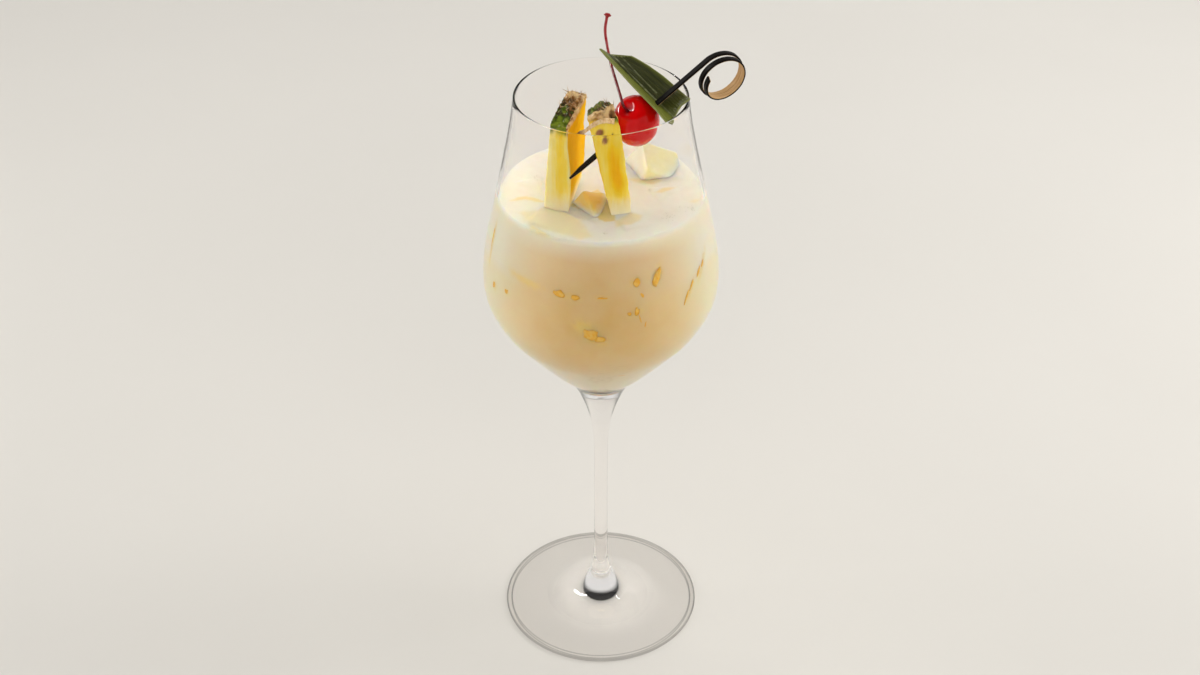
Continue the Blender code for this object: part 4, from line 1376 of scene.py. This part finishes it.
def leafPoint(row, column):
    run, side = Vector(leaf["run"]).normalized(), Vector(leaf["side"]).normalized()
    front = side.cross(run).normalized()
    fold = leaf["foldColumn"]
    starts = np.interp(column, *leaf["cut"])
    ends = np.interp(column, *leaf["end"])
    along = starts + (ends - starts) * row
    if column < fold:
        share = 1 - column / fold
        fade = np.interp(along, (-9, 10, 28), (1.0, 0.7, 0.26))
        across = -leaf["fold"] * share * fade - 0.9 * row * row
        lift = leaf["lift"] * share * np.interp(along, (-11, -3, 10, 28), (0.45, 0.95, 0.7, 0.26))
    else:
        share = (column - fold) / (1 - fold)
        edge = leaf["blade"] - 3.6 * (max(0.0, along) / 19.2) ** 2
        closing = np.interp(row, (0.0, 0.8, 1.0), (0.0, 0.0, 1.0))
        across = share * edge * (1 - 0.35 * closing * (1 - share)) - 0.9 * row * row * (1 - share)
        lift = 2.6 * share * share * exp(-(along + 7.3) / 4.0) - 0.5 * sin(pi * share)
    bow = -1.9 - 0.22 * along + 0.009 * along * along
    # ribs run along the leaf
    lift += leaf["ribs"] * sin(column * leaf["ribTurns"]) \
        + leaf["uneven"] * grain((column * 20, along * 0.2, 0), 1.0, 2, 4.0)
    place = pickPoint(leaf["alongPick"]) + run * along + side * across + front * (lift + bow)
    return place, along, across


def makeLeafFinish():
    material, tree, shader = newMaterial(
        "pineappleLeaf", IOR=1.42, Subsurface_Weight=0.15, Subsurface_Scale=0.0008,
        Subsurface_Radius=(0.6, 1.0, 0.2), Coat_Weight=0.12, Coat_Roughness=0.3)
    fibre = threadsOf(stripPlace(tree, "X", "Y"), 60.0, 0.02)["Fibre"]
    dark = rampOf(fibre, [
        (0.3, (0.022, 0.025, 0.003)), (0.5, (0.042, 0.047, 0.006)), (0.72, (0.075, 0.082, 0.014))])
    olive = rampOf(fibre, [
        (0.3, (0.10, 0.11, 0.010)), (0.5, (0.145, 0.16, 0.018)), (0.72, (0.20, 0.22, 0.04))])
    blade = mixOf(readLayer(tree, "olive"), dark, olive)
    blade = mixOf(readLayer(tree, "ridge"), blade, (0.38, 0.40, 0.20))
    feed(shader, mixOf(readLayer(tree, "cutEdge"), blade, (0.30, 0.31, 0.09)))
    feed(shader, rangeOf(fibre, 0.3, 0.7, 0.32, 0.5), "Roughness")
    bumpTo(shader, fibre, 0.6, 0.0003)
    return material


def makeLeaf():
    rows, columns = leaf["rows"], leaf["columns"]
    grid = [[leafPoint(i / (rows - 1), j / (columns - 1)) for j in range(columns)] for i in range(rows)]
    lines = [[point[0] for point in line] for line in grid]
    crossLines = list(zip(*lines))
    rings, infos = [], []
    for i in range(rows):
        upper, lower, info = [], [], []
        for j in range(columns):
            place, v, u = grid[i][j]
            normal = wayAlong(crossLines[j], i).cross(wayAlong(lines[i], j)).normalized()
            # the edges are thinner than the middle
            edge = min(j, columns - 1 - j) / 4
            thick = leaf["thickness"] / 2 * min(1.0, 0.35 + 0.65 * edge)
            upper.append(place + normal * thick)
            lower.append(place - normal * thick)
            column = j / (columns - 1)
            band = 1 / (1 + exp((column - leaf["foldColumn"] * 0.98) * 60))
            band = max(band, 0.55 * bell(column - 0.97, 0.05), 0.5 * bell(v + 7, 3))
            ridge = bell(u - 0.55, 0.16) + 0.9 * bell(u - 2.6, 0.14) * (v > 3)
            ridge *= (0.55 + 0.45 * grain((u, v, 0), 1.2, 2)) * (column > 0.3)
            rim = max(bell(away, 0.9) for away in (j, columns - 1 - j, i, rows - 1 - i))
            info.append((band, clamp(ridge), 0.8 * rim, (column, v * 0.05)))
        infos.append(info + info[::-1])
        rings.append(upper + lower[::-1])
    olive, ridge, cutEdge, uvs = [[[point[n] for point in line] for line in infos] for n in range(4)]
    layers = {"olive": olive, "ridge": ridge, "cutEdge": cutEdge}
    return loft("foldedLeaf", rings, makeLeafFinish(), layers, uvs)


foldedLeaf = makeLeaf()
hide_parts("leaf")
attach(foldedLeaf, "root")
print("leaf made")


# floor, lights and camera


def makeFloor():
    material, tree, shader = newMaterial("paleFloor", Roughness=0.75, Specular_IOR_Level=0.0)
    slow = noiseOf(placeOf(tree), 5.0, 4.0)
    feed(shader, mixOf(slow, (0.75, 0.726, 0.68), (0.787, 0.764, 0.717)))
    # half its width and its height, in mm
    half, drop = 2500, -0.05
    corners = [(-half, -half, drop), (half, -half, drop), (half, half, drop), (-half, half, drop)]
    meshObject("floor", corners, [(0, 1, 2, 3)], material)


def addLight(name, place, target, along, size, power, colour):
    light = bpy.data.lights.new(name, "AREA")
    light.shape = "RECTANGLE"
    light.size, light.size_y = size
    light.energy = power
    light.color = colour
    obj = linked(name, light)
    # the narrow lamps make only the glints, the broad ones only light, and none shows through the glass
    obj.visible_glossy = size[0] < 0.2
    obj.visible_diffuse = size[0] > 0.2
    obj.visible_transmission = False
    back = (Vector(place) - Vector(target)).normalized()
    side = Vector(along).cross(back).normalized()
    turn = Matrix((side, back.cross(side), back)).transposed().to_4x4()
    obj.matrix_world = Matrix.Translation(place) @ turn


makeFloor()
warm = (1.0, 0.99, 0.97)
# place, target, direction of the long side, size, power and colour
lights = {
    "overhead": ((0.45, 0.75, 1.4), (0.0, 0.1, 0.0), (0, 0, 1), (2.4, 1.8), 18.6, (1.0, 0.985, 0.965)),
    "keyStrip": ((-0.98, 0.28, 0.93), (0.0, 0.0, 0.22), (-0.1, -0.9, 0.43), (0.12, 1.0), 15.0, warm),
    "glint": ((0.71, -0.02, 0.92), (0.01, 0.0, 0.23), (0.2, -0.9, -0.3), (0.06, 0.3), 2.5, warm),
    "leftSide": ((-0.95, 0.12, 0.5), (0.0, 0.0, 0.16), (0, 0, 1), (0.4, 0.9), 3.1, warm),
    "rightSide": ((0.95, 0.12, 0.5), (0.0, 0.0, 0.16), (0, 0, 1), (0.4, 0.9), 3.5, warm),
    "front": ((0.1, -1.8, 1.3), (0.0, 0.0, 0.15), (0, 0, 1), (2.0, 1.2), 12.6, warm),
}
for name, values in lights.items():
    addLight(name, *values)


def makeStudio():
    # pale walls round the table, a darker ceiling and a darker room behind the camera
    world = bpy.data.worlds.new("studio")
    world.use_nodes = True
    tree = world.node_tree
    way = addNode(tree, "ShaderNodeTexCoord").outputs["Generated"]
    walls = rangeOf(axisOf(way, "Z"), 0.56, 0.65, 0.74, 0.03)
    room = rangeOf(axisOf(way, "Y"), -0.1, -0.8, 1.0, 0.6)
    background = tree.nodes["Background"].inputs
    tree.links.new(times(walls, room), background["Strength"])
    background["Color"].default_value = (1.0, 0.985, 0.96, 1)
    return world


bpy.context.scene.world = makeStudio()
bpy.context.scene.view_settings.view_transform = "Standard"

cameraData = bpy.data.cameras.new("photoCamera")
cameraData.lens = 52.8
cameraData.sensor_width = 36.0
camera = linked("photoCamera", cameraData)
camera.location = (-0.000368, -0.57352, 0.52602)
camera.rotation_euler = (pi / 2 - 0.5968, 0.0, 0.0)
bpy.context.scene.camera = camera
print("stage made")
